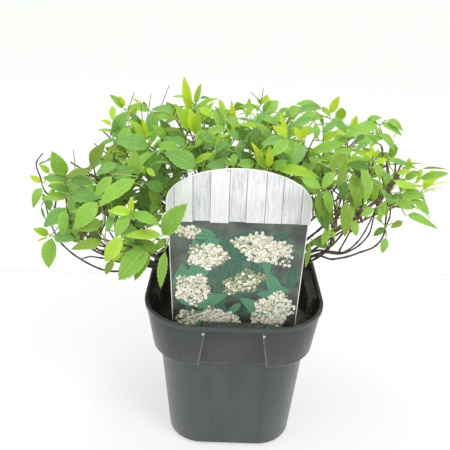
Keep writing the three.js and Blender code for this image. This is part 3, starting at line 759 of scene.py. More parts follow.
def label_print():
    material, shader, place = new_material("label_print", (0.8, 0.81, 0.8), 0.28)
    x, y, z = place.split()
    board = x / BOARD_WIDTH + ((x * 260).math("SINE") * 0.03 + BOARD_SHIFT)
    number = board.math("FLOOR")
    tone = number.node("ShaderNodeTexWhiteNoise", {"noise_dimensions": "1D"}, {"W": number})
    edge = (board.math("FRACT") - 0.5).math("ABSOLUTE")
    wander = place.noise(60, 2)
    is_gap = (edge + wander * 0.02).above(0.516 - BOARD_GAP, 0.016)
    long_grain = place.stretched(1, 1, 0.07).noise(900, 5, 0.65)
    stain = place.noise(55, 5, 0.65)
    knot = place.stretched(1, 0, 0.7).cells(62)
    is_knot = (knot + long_grain * 0.05).below(0.1, 0.05) * stain.above(0.52, 0.06)
    paint = (0.6 * long_grain + 0.25 * stain + 0.15 * tone).ramp(
        (0.33, (0.44, 0.45, 0.47)), (0.45, (0.65, 0.655, 0.67)), (0.6, (0.77, 0.775, 0.79))
    )
    is_speck = place.stretched(1, 1, 0.3).noise(700, 3, 0.7).above(0.665, 0.03) * stain.above(0.45, 0.1)
    marks = (0.55 * is_knot).math("MAXIMUM", 0.5 * is_speck)
    boards = (0.75 * is_gap).mix(marks.mix(paint, (0.3, 0.25, 0.25)), (0.14, 0.14, 0.14))
    dim = place.noise(70, 4, 0.6)
    drift = place.stretched(0.4, 1, 1).noise(130, 4)
    ground = (0.6 * dim + 0.4 * drift).ramp(
        (0.36, (0.045, 0.055, 0.05)), (0.5, (0.09, 0.11, 0.092)), (0.62, (0.1, 0.19, 0.12))
    )
    is_boards = (z + tone * (1.6 * MM)).above(PICTURE_TOP + 0.8 * MM, 0.2 * MM)
    picture = is_boards.mix(ground, boards)
    half = (z - PICTURE_FOOT) * PICTURE_LEAN + PICTURE_FOOT_HALF
    past_sides = (x.math("ABSOLUTE") - half).above(-MARGIN, 0.2 * MM) * (1 - is_boards)
    rise = ((z - LABEL_SHOULDER) / LABEL_RISE).math("MAXIMUM", 0)
    round_edge = ((x / LABEL_HEAD_HALF).math("POWER", 2) + rise.math("POWER", 2)).above(0.955, 0.01)
    is_edge = past_sides.math("MAXIMUM", round_edge)
    printed = is_edge.mix(picture, CARD_WHITE)
    is_front = y.below(PRINT_FRONT, 0.1 * MM)
    feed(
        shader,
        Base_Color=is_front.mix(CARD_BACK, printed),
        Roughness=0.24 + 0.1 * wander,
        Normal=place.noise(300, 2).bump(0.03, 0.0002),
    )
    return material


LABEL_PRINT = label_print()
label = card_sheet("label_board")
round_edges(label, 0.2 * MM, 2, 60)
smooth(label, 40)
hand_over(label, LABEL_PRINT, "label_card", "label_card")

# %% [markdown]
# ## Gathering small shapes
# The shrub has about a thousand leaves and its label thousands of petals. Making each with operators would
# take hours, so small shapes are worked out as arrays and gathered in a bundle, which becomes one mesh.


# %% A bundle of shapes
class Bundle:
    """Small shapes kept as arrays, in millimetres, until they are made into one mesh."""

    def __init__(self):
        self.places = []
        self.faces = []
        self.maps = []
        self.count = 0

    def add(self, places, faces, spots=None):
        self.places.append(places)
        self.faces.extend([[corner + self.count for corner in face] for face in faces])
        self.maps.append(np.zeros((len(places), 2)) if spots is None else spots)
        self.count += len(places)

    def make(self, name):
        mesh = bpy.data.meshes.new(name)
        mesh.from_pydata(np.concatenate(self.places) * MM, [], self.faces)
        spots = np.concatenate(self.maps)
        corners = np.empty(len(mesh.loops), dtype=np.int32)
        mesh.loops.foreach_get("vertex_index", corners)
        mesh.uv_layers.new(name="UVMap").data.foreach_set("uv", spots[corners].ravel())
        mesh.polygons.foreach_set("use_smooth", np.ones(len(mesh.polygons), dtype=bool))
        mesh.update()
        piece = bpy.data.objects.new(name, mesh)
        bpy.context.collection.objects.link(piece)
        return piece


def unit(vector):
    return vector / np.linalg.norm(vector)


# %% [markdown]
# ## Flowers and leaves on the label
# The picture is of the shrub in flower: flat heads of small five-petalled flowers, between dim leaves. Its
# layout is free. Each head is a round patch that is filled with flowers, thicker in the middle, with
# greenish buds at its edge.

# %% Shapes that are laid on the card
PRINT_SEED = 4
INK_STEP = 0.03  # millimetres from one layer of print to the next
# middle, across and up, half width, half height, tilt in degrees, and share that is still in bud
FLOWER_HEADS = [
    ((21, 206), 20, 13, -10, 0.12),
    ((-22, 199), 15, 11, 20, 0.2),
    ((-33, 169), 15, 12, 35, 0.15),
    ((6, 177), 17, 9, 12, 0.7),
    ((31, 152), 17, 14, 0, 0.12),
    ((-10, 141), 18, 10, -15, 0.15),
    ((-38, 220), 10, 6, -8, 0.3),
    ((-37, 142), 9, 8, 0, 0.45),
]
PRINT_LEAVES = 72
PETALS = 5
PETAL = np.array([(0.05, 0), (0.5, -0.34), (0.85, -0.28), (1, 0), (0.85, 0.28), (0.5, 0.34)])
PRINT_STATIONS = 9
PRINT_LOW, PRINT_HIGH = 122, 225.5  # no print below and above these heights
PRINT_INSET = 1.2


def on_card(flat, layer):
    """Places on the card's front from millimetres across and up."""
    depth = (LABEL_Y - LABEL_THICK / 2) / MM - layer * INK_STEP
    return np.column_stack((flat[:, 0], np.full(len(flat), depth), flat[:, 1]))


def inside_picture(flat):
    across, up = np.abs(flat[:, 0]), flat[:, 1]
    half = PICTURE_FOOT_HALF / MM + (up - PICTURE_FOOT / MM) * PICTURE_LEAN - PRINT_INSET
    return bool((across < half).all() and (up < PRINT_HIGH).all() and (up > PRINT_LOW).all())


def turned(flat, angle):
    cos, sin = math.cos(angle), math.sin(angle)
    return flat @ np.array([[cos, sin], [-sin, cos]])


def print_floret(bundle, middle, radius, angle, layer):
    """Five rounded petals, drawn as one fan each."""
    for number in range(PETALS):
        flat = turned(PETAL * radius, angle + number * 2 * math.pi / PETALS) + middle
        bundle.add(on_card(flat, layer), [range(len(PETAL))])


def print_dot(bundle, middle, radius, layer):
    angles = np.arange(6) * math.pi / 3
    bundle.add(on_card(middle + radius * np.column_stack((np.cos(angles), np.sin(angles))), layer), [range(6)])


def print_leaf(bundle, root, length, width, angle, layer):
    n = PRINT_STATIONS
    stations = np.linspace(0, 1, n)
    half = width / 2 * np.sin(np.pi * stations**0.8) ** 0.8
    bend = 0.12 * length * stations**2
    rows = [np.column_stack((stations * length, bend + side * half)) for side in (-1, 0, 1)]
    flat = turned(np.concatenate(rows), angle) + root
    if not inside_picture(flat):
        return False
    faces = [(i, i + 1, i + n + 1, i + n) for k in (0, 1) for i in range(k * n, k * n + n - 1)]
    spots = np.concatenate([np.column_stack((np.full(n, across), stations)) for across in (0, 0.5, 1)])
    bundle.add(on_card(flat, layer), faces, spots)
    return True


# %% Print them
def print_picture():
    random = np.random.default_rng(PRINT_SEED)
    bundles = [Bundle() for _ in range(7)]
    dim_leaves, lit_leaves, shades, petals, creams, buds, eyes = bundles
    made = 0
    while made < PRINT_LEAVES:
        root = np.array((random.uniform(-48, 48), random.uniform(122, 224)))
        length = random.uniform(15, 30)
        leaf = dim_leaves if made < PRINT_LEAVES * 0.6 else lit_leaves
        layer = 1 + made / PRINT_LEAVES
        made += print_leaf(leaf, root, length, length * random.uniform(0.28, 0.42), random.uniform(0, 6.3), layer)
    for middle, wide, high, tilt, budding in FLOWER_HEADS:
        for number in range(int(wide * high * 2)):
            away = math.sqrt(random.random()) * random.uniform(0.85, 1.08)
            bearing = random.uniform(0, 2 * math.pi)
            away *= 1 + 0.14 * math.sin(2 * bearing + middle[0]) + 0.13 * math.sin(5 * bearing + middle[1])
            offset = np.array((wide * away * math.cos(bearing), high * away * math.sin(bearing)))
            spot = np.array(middle) + turned(offset[None], math.radians(tilt))[0]
            radius = random.uniform(0.95, 1.6)
            layer = 3 + 2 * random.random()
            is_open = random.random() > budding + 0.25 * (away > 0.9)
            angle = random.uniform(0, 6.3)
            pale = random.random() < 0.6
            if not inside_picture(spot[None] + ((radius, 0), (-radius, 0), (0, radius), (0, -radius))):
                continue
            print_dot(shades, spot + (0.25, -0.3), 0.95 * radius, layer - 0.3)
            if is_open:
                print_floret(petals if pale else creams, spot, radius, angle, layer)
                print_dot(eyes, spot, 0.26 * radius, layer + 0.4)
            else:
                print_dot(buds, spot, random.uniform(0.45, 0.8), layer)
    return bundles


def ink(name, color):
    material, shader, place = new_material(name, color, 0.3)
    shade = place.noise(900, 3, 0.6)
    darker, lighter = (tuple(share * value for value in color) for share in (0.76, 1.1))
    feed(shader, Base_Color=shade.ramp((0.32, darker), (0.62, lighter)), Roughness=0.26 + 0.1 * shade)
    return material


INKS = {
    "print_dim_leaves": leaf_green("ink_dim_leaf", (0.05, 0.13, 0.085), (0.14, 0.24, 0.16), 0.3, 0),
    "print_lit_leaves": leaf_green("ink_lit_leaf", (0.085, 0.25, 0.14), (0.24, 0.42, 0.24), 0.3, 0),
    "print_shades": ink("ink_shade", (0.16, 0.17, 0.11)),
    "print_petals": ink("ink_petal", (0.9, 0.89, 0.81)),
    "print_cream_petals": ink("ink_cream_petal", (0.66, 0.64, 0.47)),
    "print_buds": ink("ink_bud", (0.42, 0.5, 0.24)),
    "print_eyes": ink("ink_eye", (0.42, 0.38, 0.16)),
}
for (name, material), bundle in zip(INKS.items(), print_picture()):
    hand_over(bundle.make(name), material, "label_card", "label_card")

# %% [markdown]
# ## The shrub's plan
# Each stem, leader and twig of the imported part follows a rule: a ring of stems per tier, and on each stem a
# mass of foliage in its own space. The same rule is worked out again here from the same seed, so the wood
# goes where the solids are, and finer wood and real leaves can be hung on it. All of it is in millimetres.


# %% Repeatable numbers and curves
def random_stream(seed):
    """A small repeatable source of numbers from 0 to 1."""
    state = seed

    def draw():
        nonlocal state
        state = (state + 0x6D2B79F5) & 0xFFFFFFFF
        mixed = state
        mixed = ((mixed ^ (mixed >> 15)) * (mixed | 1)) & 0xFFFFFFFF
        mixed ^= (mixed + (((mixed ^ (mixed >> 7)) * (mixed | 61)) & 0xFFFFFFFF)) & 0xFFFFFFFF
        return ((mixed ^ (mixed >> 14)) & 0xFFFFFFFF) / 4294967296

    return draw


def spread(draw, amount):
    return (draw() * 2 - 1) * amount


def heading(azimuth, rise):
    """The unit direction at an azimuth and a rise above the ground, in radians."""
    flat = math.cos(rise)
    return np.array((math.cos(azimuth) * flat, math.sin(azimuth) * flat, math.sin(rise)))


def distance(first, second):
    return float(np.linalg.norm(np.subtract(first, second)))


class Curve:
    """A Bezier curve, by its control points."""

    def __init__(self, *controls):
        self.controls = np.array(controls, dtype=float)

    def at(self, t):
        points = self.controls
        while len(points) > 1:
            points = points[:-1] * (1 - t) + points[1:] * t
        return points[0]

    def way(self, t):
        return unit(Curve(*np.diff(self.controls, axis=0)).at(t))

    def length(self):
        points = np.array([self.at(t) for t in np.linspace(0, 1, 33)])
        return float(np.linalg.norm(np.diff(points, axis=0), axis=1).sum())

    def across(self, t):
        """The direction at t, and two directions square to it that turn as little as possible."""
        chord = unit(self.at(1) - self.at(0))
        aside = np.array((1.0, 0, 0)) if abs(chord[2]) > 0.8 else np.array((0, 0, 1.0))
        along = self.way(t)
        first = unit(aside - aside.dot(along) * along)
        return along, first, np.cross(along, first)


# %% The rule's own measures
PLAN_SEED = 9
STOOL_CENTRE = np.array((0, 4, 123))
STOOL_RADIUS = 18
ROOM = 0.3  # between solids that touch
CROWN_CENTRE = np.array((-2, 8, 212))
CROWN_HALF = np.array((179, 146, 100))
CROWN_DOWN = 54
CROWN_THINNEST = 14
CROWN_POWER = 2.6
RISE_RIGHT = 0.12
RISE_FRONT = 0.45
CROWN_HOLLOW = 84
CROWN_HOLLOW_TOP = 205
TALLEST, TALLEST_SHARE = "top_3", 1.24
LABEL_TOP = 270
LABEL_CLEAR = 20  # a mass in front is moved back to this distance behind the label
LABEL_LIFT = 12
AZIMUTH_STRAY, LEAN_STRAY = 5, 4  # in degrees
REACH_STRAY, HEIGHT_STRAY = 0.06, 6
STEM_BEND = 0.35
GOLDEN = math.radians(137.5)
Tier = namedtuple("Tier", "name count first span lean reach height tip rise bend")
TIERS = [
    Tier("low", 9, -44, 268, 28, 0.74, 206, 0.58, 1, 0.1),
    Tier("mid", 8, -64, 308, 50, 0.56, 250, 0.56, 0.5, 0.25),
    Tier("top", 4, 20, 270, 76, 0.22, 276, 0.6, 0, 0.2),
]
# azimuth and lean in degrees, and where it ends
CUT_STEMS = [(2, 44, (127, -12, 250)), (135, 44, (-78, 84, 262)), (207, 30, (-112, -46, 236))]
CUT_STEEPER = 16
Mass = namedtuple("Mass", "name tier centre bough")
print("masses:", sum(tier.count for tier in TIERS))


# %% Lay out the crown
def underside_rise(x, y):
    return RISE_RIGHT * x + RISE_FRONT * np.maximum(0, -y)


def stem_curve(azimuth, rise, tip, last):
    """A stem leaves the stool square to it and reaches its tip along a given direction."""
    first = heading(azimuth, rise)
    start = STOOL_CENTRE + first * (STOOL_RADIUS + ROOM)
    bend = distance(start, tip) * STEM_BEND
    return Curve(start, start + first * bend, tip - last * bend, tip)


def lay_out_crown():
    draw = random_stream(PLAN_SEED)
    masses = []
    for tier in TIERS:
        for number in range(tier.count):
            azimuth = math.radians(tier.first + number * tier.span / (tier.count - 1) + spread(draw, AZIMUTH_STRAY))
            rise = math.radians(tier.lean + spread(draw, LEAN_STRAY))
            reach = tier.reach * (1 + spread(draw, REACH_STRAY))
            x, y = (CROWN_CENTRE + heading(azimuth, 0) * CROWN_HALF * reach)[:2]
            z = tier.height + tier.rise * underside_rise(x, y) + spread(draw, HEIGHT_STRAY)
            centre = np.array((x, y, z))
            behind_label = LABEL_Y / MM + LABEL_CLEAR
            if y < behind_label and abs(x) < LABEL_HEAD_HALF / MM:
                centre += (0, behind_label - y, LABEL_LIFT)
            start = STOOL_CENTRE + heading(azimuth, rise) * (STOOL_RADIUS + ROOM)
            tip = start + (centre - start) * tier.tip
            bough = stem_curve(azimuth, rise, tip, unit(centre - tip))
            masses.append(Mass(f"{tier.name}_{number + 1}", tier, centre, bough))
    return masses


def cut_stem(azimuth, lean, tip):
    azimuth, rise, last_rise = np.radians((azimuth, lean, lean + CUT_STEEPER))
    return stem_curve(azimuth, rise, np.array(tip, dtype=float), heading(azimuth, last_rise))


masses = lay_out_crown()
cut_stems = [cut_stem(*row) for row in CUT_STEMS]
for mass in masses[:3]:
    print(mass.name, "is centred at", mass.centre.round())

# %% [markdown]
# ## Room for leaves
# A leaf may go where its mass may, with a little overlap into the next one so that no seam shows between
# masses. It keeps inside the crown's outline, off the label, off the bare middle and off the stems. From
# the bench the crown has a skyline of its own, with shoulders and dips, a hem where bare stems show, and
# small gaps of sky. All are short lists on the upright plane through the pot's axis.

# %% Skyline, hem and gaps
# across and up
SKYLINE = np.array([
    (-178, 236), (-162, 249), (-151, 257), (-133, 249), (-122, 250), (-112, 256), (-107, 270), (-103, 296),
    (-91, 305), (-73, 299), (-54, 305), (-46, 316), (-36, 311), (-8, 304), (20, 309), (39, 300), (57, 302),
    (75, 306), (96, 293), (124, 292), (136, 264), (150, 257), (178, 251),
])
HEM = np.array([
    (-178, 240), (-169, 232), (-161, 192), (-150, 176), (-125, 172), (-108, 160), (-98, 140), (-80, 142),
    (-66, 172), (-54, 180), (54, 196), (66, 208), (84, 204), (106, 210), (125, 216), (150, 212), (178, 206),
])
# small gaps where the sky shows: across, up and radius
WINDOWS = np.array([
    (-160, 224, 3), (-147, 213, 4), (-152, 213, 3), (-117, 242, 3), (-119, 204, 4), (-113, 201, 4),
    (-110, 184, 6), (-115, 181, 4), (-130, 182, 3), (-156, 191, 3), (-161, 186, 4), (-136, 161, 5),
    (-60, 284, 5), (-54, 286, 4), (-65, 282, 3), (-41, 277, 3), (-37, 274, 3), (-22, 300, 4), (-22, 285, 3),
    (-9, 258, 3), (-16, 260, 3), (56, 274, 5), (62, 277, 3), (54, 296, 3), (72, 287, 4), (85, 244, 3),
    (75, 225, 3), (83, 225, 4), (88, 221, 3), (108, 212, 4), (113, 220, 3), (98, 187, 6), (88, 201, 3),
    (114, 271, 4), (132, 235, 3), (124, 252, 3), (34, 294, 3), (-74, 292, 5), (-94, 280, 3),
])
print("gaps:", len(WINDOWS))

# %% Tests of a place
CELL_OVERLAP = 10
LABEL_MARGIN = 2.8
CENTRES = np.array([mass.centre for mass in masses])
BOX_LOW, BOX_HIGH = (np.array(corner) / MM for corner in cad_box)
BOX_MARGIN = 1.2
EYE = np.array(camera.location) / MM


def from_bench(points):
    """Where the line of sight to each point crosses the upright plane: across and up."""
    share = -EYE[1] / (points[:, 1] - EYE[1])
    return EYE[0] + (points[:, 0] - EYE[0]) * share, EYE[2] + (points[:, 2] - EYE[2]) * share


def in_profile(points, slack=0.0):
    x, z = from_bench(points)
    away = np.hypot(x[:, None] - WINDOWS[:, 0], z[:, None] - WINDOWS[:, 1])
    if (away < WINDOWS[:, 2] - slack).any():
        return False
    return bool((z < np.interp(x, *SKYLINE.T) + slack).all() and (z > np.interp(x, *HEM.T) - slack).all())


def outline_share(points):
    """0 at the crown's centre and 1 on its outline, for rows of points."""
    p = points - CROWN_CENTRE
    down = np.maximum(CROWN_DOWN - underside_rise(points[:, 0], points[:, 1]), CROWN_THINNEST)
    half = np.where(p[:, 2] > 0, CROWN_HALF[2], down)
    sizes = np.abs(np.column_stack((p[:, 0] / CROWN_HALF[0], p[:, 1] / CROWN_HALF[1], p[:, 2] / half)))
    return (sizes**CROWN_POWER).sum(axis=1)


def in_box(points):
    return bool((points > BOX_LOW + BOX_MARGIN).all() and (points < BOX_HIGH - BOX_MARGIN).all())


def allowed(mass, points, overlap=CELL_OVERLAP, slack=0.0):
    """Whether every one of some points is a place for the mass's foliage."""
    limit = (TALLEST_SHARE if mass.name == TALLEST else 1) + slack
    if (outline_share(points) > limit).any() or not in_box(points):
        return False
    own = np.square(points - mass.centre).sum(axis=1)
    others = np.square(points[:, None] - CENTRES[None]).sum(axis=2)
    apart = np.linalg.norm(CENTRES - mass.centre, axis=1)
    depth = np.where(apart > 0, (others - own[:, None]) / (2 * np.maximum(apart, 1)), np.inf)
    if (depth.min(axis=1) < -overlap).any():
        return False
    low = (np.hypot(points[:, 0], points[:, 1]) < CROWN_HOLLOW) & (points[:, 2] < CROWN_HOLLOW_TOP)
    if low.any():
        return False
    off_label = np.maximum(
        np.maximum(np.abs(points[:, 0]) - LABEL_HEAD_HALF / MM, points[:, 2] - LABEL_TOP),
        points[:, 1] - LABEL_Y / MM,
    )
    return bool((off_label > LABEL_MARGIN).all())


# %% Places that are taken
CROWD_ROOM = 60000


class Crowd:
    """Points that are taken, and whether new ones keep their distance from them."""

    def __init__(self):
        self.points = np.empty((CROWD_ROOM, 3))
        self.count = 0

    def add(self, points):
        self.points[self.count:self.count + len(points)] = points
        self.count += len(points)

    def clear(self, points, apart):
        taken = self.points[: self.count]
        low, high = points.min(axis=0) - apart, points.max(axis=0) + apart
        near = taken[((taken > low) & (taken < high)).all(axis=1)]
        return len(near) == 0 or bool((np.linalg.norm(near[:, None] - points[None], axis=2) > apart).all())


def along(curve, step):
    return np.array([curve.at(t) for t in np.linspace(0, 1, max(2, math.ceil(curve.length() / step) + 1))])


# %% [markdown]
# ## Wood
# Stems are tubes swept along their curves. Real young wood isn't a smooth pipe: it wanders a little, swells
# at each node, and its bark is ridged. So each ring of a thick stem is pushed in and out by noise that is
# stretched along it, and the nodes swell at a regular step. Three stems were cut back: they are browner and
# blunt, and a piece of their own.

# %% Sweep a tube
NODE_SWELL, NODE_HALF = 0.28, 1.1  # a share of the radius, and half its length
GRAIN_AROUND, GRAIN_ALONG = 2.2, 0.16
STRAY_LENGTH = 22  # one bend of a wandering stem
WANDER_SEED = 7
noise.seed_set(WANDER_SEED)  # or the clock would seed the noise that bends the stems


def tube(bundle, points, thick, sides, relief=0.0, node_step=0.0):
    """A tube through points, with closed ends, from a radius at its foot to one at its tip."""
    radii = np.linspace(*thick, len(points))
    ways = np.gradient(points, axis=0)
    ways /= np.linalg.norm(ways, axis=1)[:, None]
    first = unit(np.cross(ways[0], (0.31, 0.87, 0.38)))
    angles = np.arange(sides) * 2 * math.pi / sides
    places, travelled = [], 0.0
    for number, (point, way, radius) in enumerate(zip(points, ways, radii)):
        first = unit(first - first.dot(way) * way)
        second = np.cross(way, first)
        travelled += distance(point, points[number - 1]) if number else 0
        swell = 1.0
        if node_step:
            swell += NODE_SWELL * math.exp(-(((travelled % node_step) - node_step / 2) / NODE_HALF) ** 2)
        for angle in angles:
            bark = 1.0
            if relief:
                around = math.cos(angle) * GRAIN_AROUND, math.sin(angle) * GRAIN_AROUND
                spot = Vector((*around, travelled * GRAIN_ALONG + points[0][0]))
                bark += relief * noise.noise(spot) + 0.5 * relief * noise.noise(spot * 3)
            out = math.cos(angle) * first + math.sin(angle) * second
            places.append(point + out * radius * swell * bark)
    last = len(points) - 1
    faces = [
        (ring * sides + side, ring * sides + (side + 1) % sides,
         (ring + 1) * sides + (side + 1) % sides, (ring + 1) * sides + side)
        for ring in range(last) for side in range(sides)
    ]
    faces += [tuple(reversed(range(sides))), tuple(last * sides + side for side in range(sides))]
    bundle.add(np.array(places), faces)


def wandering(curve, step, amount, seed):
    """Points along a curve that stray from it in the middle and meet it at both ends."""
    points = along(curve, step)
    shares = np.linspace(0, 1, len(points))
    for number, share in enumerate(shares):
        spot = Vector((share * curve.length() / STRAY_LENGTH + seed * 7.3, seed * 1.7, 0))
        points[number] += np.array(noise.noise_vector(spot)) * amount * math.sin(math.pi * share)
    return points


# %% Stool and main stems
STEM_THICK = (1.95, 0.9)  # radius at the foot and at the tip
CUT_THICK = (1.85, 1.15)
BARK_RELIEF = 0.16
SOIL_MM = SOIL_TOP / MM
FLARE, FLARE_HEIGHT = 0.16, 6
KNOBS = [(160, 0.1), (420, 0.05)]
KNOB_RISE = 12
STEM_STEP = 1.5
STEM_STRAY = 3
STEM_SUNK = 2


def stool_dome():
    """The root collar: half a ball that is drawn down into the compost and made knobbly."""
    bpy.ops.mesh.primitive_uv_sphere_add(segments=48, ring_count=32, radius=STOOL_RADIUS * MM,
                                         location=Vector(STOOL_CENTRE) * MM)
    dome = bpy.context.object
    dome.name = "root_collar"
    settle(dome)
    edit(dome, "SELECT")
    foot = (0, STOOL_CENTRE[1] * MM, SOIL_TOP - 2 * MM)
    bpy.ops.mesh.bisect(plane_co=foot, plane_no=(0, 0, 1), clear_inner=True, use_fill=True)
    bpy.ops.object.mode_set(mode="OBJECT")
    for vertex in dome.data.vertices:
        height = vertex.co.z / MM - SOIL_MM
        out = Vector((vertex.co.x, vertex.co.y - STOOL_CENTRE[1] * MM, 0))
        flare = FLARE * max(0.0, 1 - max(0.0, height) / FLARE_HEIGHT)
        lump = rough(vertex.co, KNOBS)
        vertex.co += out * (flare + lump)
        vertex.co.z += lump * KNOB_RISE * MM * (height > 0)
    face_outward(dome)
    smooth(dome, 60)
    return dome


def swept_stems(name, curves, thick, sides, node_step, seed):
    """Stems as one mesh, each sunk a little into the stool."""
    stems = Bundle()
    for number, curve in enumerate(curves):
        points = wandering(curve, STEM_STEP, STEM_STRAY, seed + number)
        points[0] -= curve.way(0) * STEM_SUNK
        tube(stems, points, thick, sides, BARK_RELIEF, node_step)
    return stems.make(name)


boughs = [mass.bough for mass in masses]
bough_nodes = [f"stem_{mass.name}" for mass in masses]
cut_nodes = [f"stem_cut_{number + 1}" for number in range(len(cut_stems))]
hand_over(stool_dome(), WOOD, "bark", "stool")
hand_over(swept_stems("main_stems", boughs, STEM_THICK, 10, 15, 0), WOOD, "bark", *bough_nodes)
hand_over(swept_stems("cut_stems", cut_stems, CUT_THICK, 12, 17, 40), YOUNG_WOOD, "bark", *cut_nodes)

# %% [markdown]
# ## Twigs
# A leader goes on from each stem, and five twigs stand on it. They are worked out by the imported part's rule
# once more. Finer side shoots are then set on them: short, turned up to the light, each with its own
# leaves and a tuft of young ones at its tip.

# %% Room beside the stems
LEAF_ROOM = 44 * 0.6  # a shoot ends this far inside the outline
TWIG_RADIUS = 1.6
WOOD_CLEARANCE = 0.6
CELL_MARGIN = 0.4
STEM_RADII, CUT_RADII = (2.3, 1.3), (2.1, 1.7)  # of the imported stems, at foot and tip


def limb_points():
    rows = []
    stems = [(mass.bough, STEM_RADII) for mass in masses] + [(curve, CUT_RADII) for curve in cut_stems]
    for curve, radii in stems:
        points = along(curve, 2)
        rows.append(np.column_stack((points, np.linspace(*radii, len(points)))))
    return np.concatenate(rows)


LIMBS = limb_points()


def clear_of_limbs(points, radius):
    apart = np.linalg.norm(LIMBS[None, :, :3] - points[:, None], axis=2)
    return bool((apart > LIMBS[None, :, 3] + radius).all())


def shoot_is_clear(mass, curve, start):
    beyond = curve.at(1) + curve.way(1) * LEAF_ROOM
    points = np.array([curve.at(t) for t in np.arange(start, 1.0001, 0.1)])
    whole = np.vstack((points, beyond))
    return allowed(mass, whole, -CELL_MARGIN) and clear_of_limbs(points, TWIG_RADIUS + WOOD_CLEARANCE)


# %% Leaders and twigs by the rule
LEADER_LENGTHS = range(96, 23, -6)
LEADER_FREE, TWIG_FREE = 0.35, 0.2  # the share of its length from which a shoot must be clear
TWIGS = 5
TWIG_TURNS = 4
TWIG_FIRST, TWIG_SPAN = 0.14, 0.85  # where twigs stand along the leader
TWIG_SPLAY, SPLAY_STRAY = 50, 10  # in degrees
TWIG_LENGTH, TWIG_SHORTER, TWIG_STRAY = 56, 4, 8
TWIG_SHORTEST = 10
Shoot = namedtuple("Shoot", "curve bare thick kind")


def grow_leader(mass):
    tip, enter = mass.bough.at(1), mass.bough.way(1)
    start = tip + enter * ROOM
    way = unit(enter + unit(mass.centre - CROWN_CENTRE) * 0.35)
    for length in LEADER_LENGTHS:
        curve = Curve(start, start + enter * length * 0.4, start + way * length)
        if shoot_is_clear(mass, curve, LEADER_FREE):
            return curve
    raise RuntimeError(f"{mass.name} has no room for its leader")


def rising(start, way, length, lift):
    """A shoot that sets out one way and bends up towards the light."""
    return Curve(start, start + way * length * 0.5, start + way * length + np.array((0, 0, lift * length)))


def grow_twig(mass, leader, number, turn, draw):
    t = TWIG_FIRST + number * TWIG_SPAN / TWIGS
    ahead, first, second = leader.across(t)
    angle = number * GOLDEN + turn * 1.7 + spread(draw, 0.4)
    outward = first * math.cos(angle) + second * math.sin(angle)
    splay = math.radians(TWIG_SPLAY + spread(draw, SPLAY_STRAY))
    way = ahead * math.cos(splay) + outward * math.sin(splay)
    length = TWIG_LENGTH - TWIG_SHORTER * number + spread(draw, TWIG_STRAY)
    while length > TWIG_SHORTEST:
        curve = rising(leader.at(t), way, length, mass.tier.bend)
        if shoot_is_clear(mass, curve, TWIG_FREE):
            return curve
        length -= TWIG_SHORTER
    return None


def grow_twigs(mass, number):
    draw = random_stream(PLAN_SEED * 1000 + number)
    leader = grow_leader(mass)
    shoots = [Shoot(leader, 0.3, (1.0, 0.6), "leader")]
    for place in range(TWIGS):
        for turn in range(TWIG_TURNS):
            curve = grow_twig(mass, leader, place, turn, draw)
            if curve:
                shoots.append(Shoot(curve, 0.2, (0.75, 0.42), "twig"))
                break
    return [shoot for shoot in shoots if shoot.kind == "leader" or in_profile(shoot.curve.at(0.8)[None], 4)]


# %% Finer side shoots
SIDE_SEED = 21
SIDE_STEP = 15
SIDE_LENGTH = (16, 40)
SIDE_TURNS = 5
SIDE_FIRST, SIDE_SPAN = 0.3, 0.68
SIDE_AHEAD, SIDE_OUT, SIDE_UP = 0.75, 0.85, (0, 0, 0.3)
SIDE_LIFT = 0.22
SIDE_THICK = (0.5, 0.34)
TUFT_ROOM = 12


def grow_side_shoots(mass, parents, random):
    made = []
    for parent in parents:
        count = max(1, int(parent.curve.length() / SIDE_STEP))
        for number in range(count):
            for turn in range(SIDE_TURNS):
                t = SIDE_FIRST + SIDE_SPAN * (number + random.uniform(0.2, 0.8)) / count
                ahead, first, second = parent.curve.across(t)
                angle = number * GOLDEN + turn * 1.5 + random.uniform(-0.4, 0.4)
                outward = first * math.cos(angle) + second * math.sin(angle)
                way = unit(ahead * SIDE_AHEAD + outward * SIDE_OUT + SIDE_UP)
                curve = rising(parent.curve.at(t), way, random.uniform(*SIDE_LENGTH), SIDE_LIFT)
                points = np.array([curve.at(share) for share in (0.5, 1.0)])
                whole = np.vstack((points, curve.at(1) + curve.way(1) * TUFT_ROOM))
                if allowed(mass, whole) and in_profile(whole) and clear_of_limbs(points, 2):
                    made.append(Shoot(curve, 0.15, SIDE_THICK, "side"))
                    break
    return made


sprays = []
for number, mass in enumerate(masses):
    twigs = grow_twigs(mass, number)
    random = np.random.default_rng(SIDE_SEED * 100 + number)
    sprays.append(twigs + grow_side_shoots(mass, twigs, random))
print("twigs:", sum(len(spray) for spray in sprays))

# %% [markdown]
# ## Wiry stems
# Between the main stems a young spirea has many thinner ones. They leave the stool low, sweep out in an
# arc, turn up, and are bare for most of their way. Some pass through chosen points, for the bare arcs that
# show at both sides, and the others follow each mass.

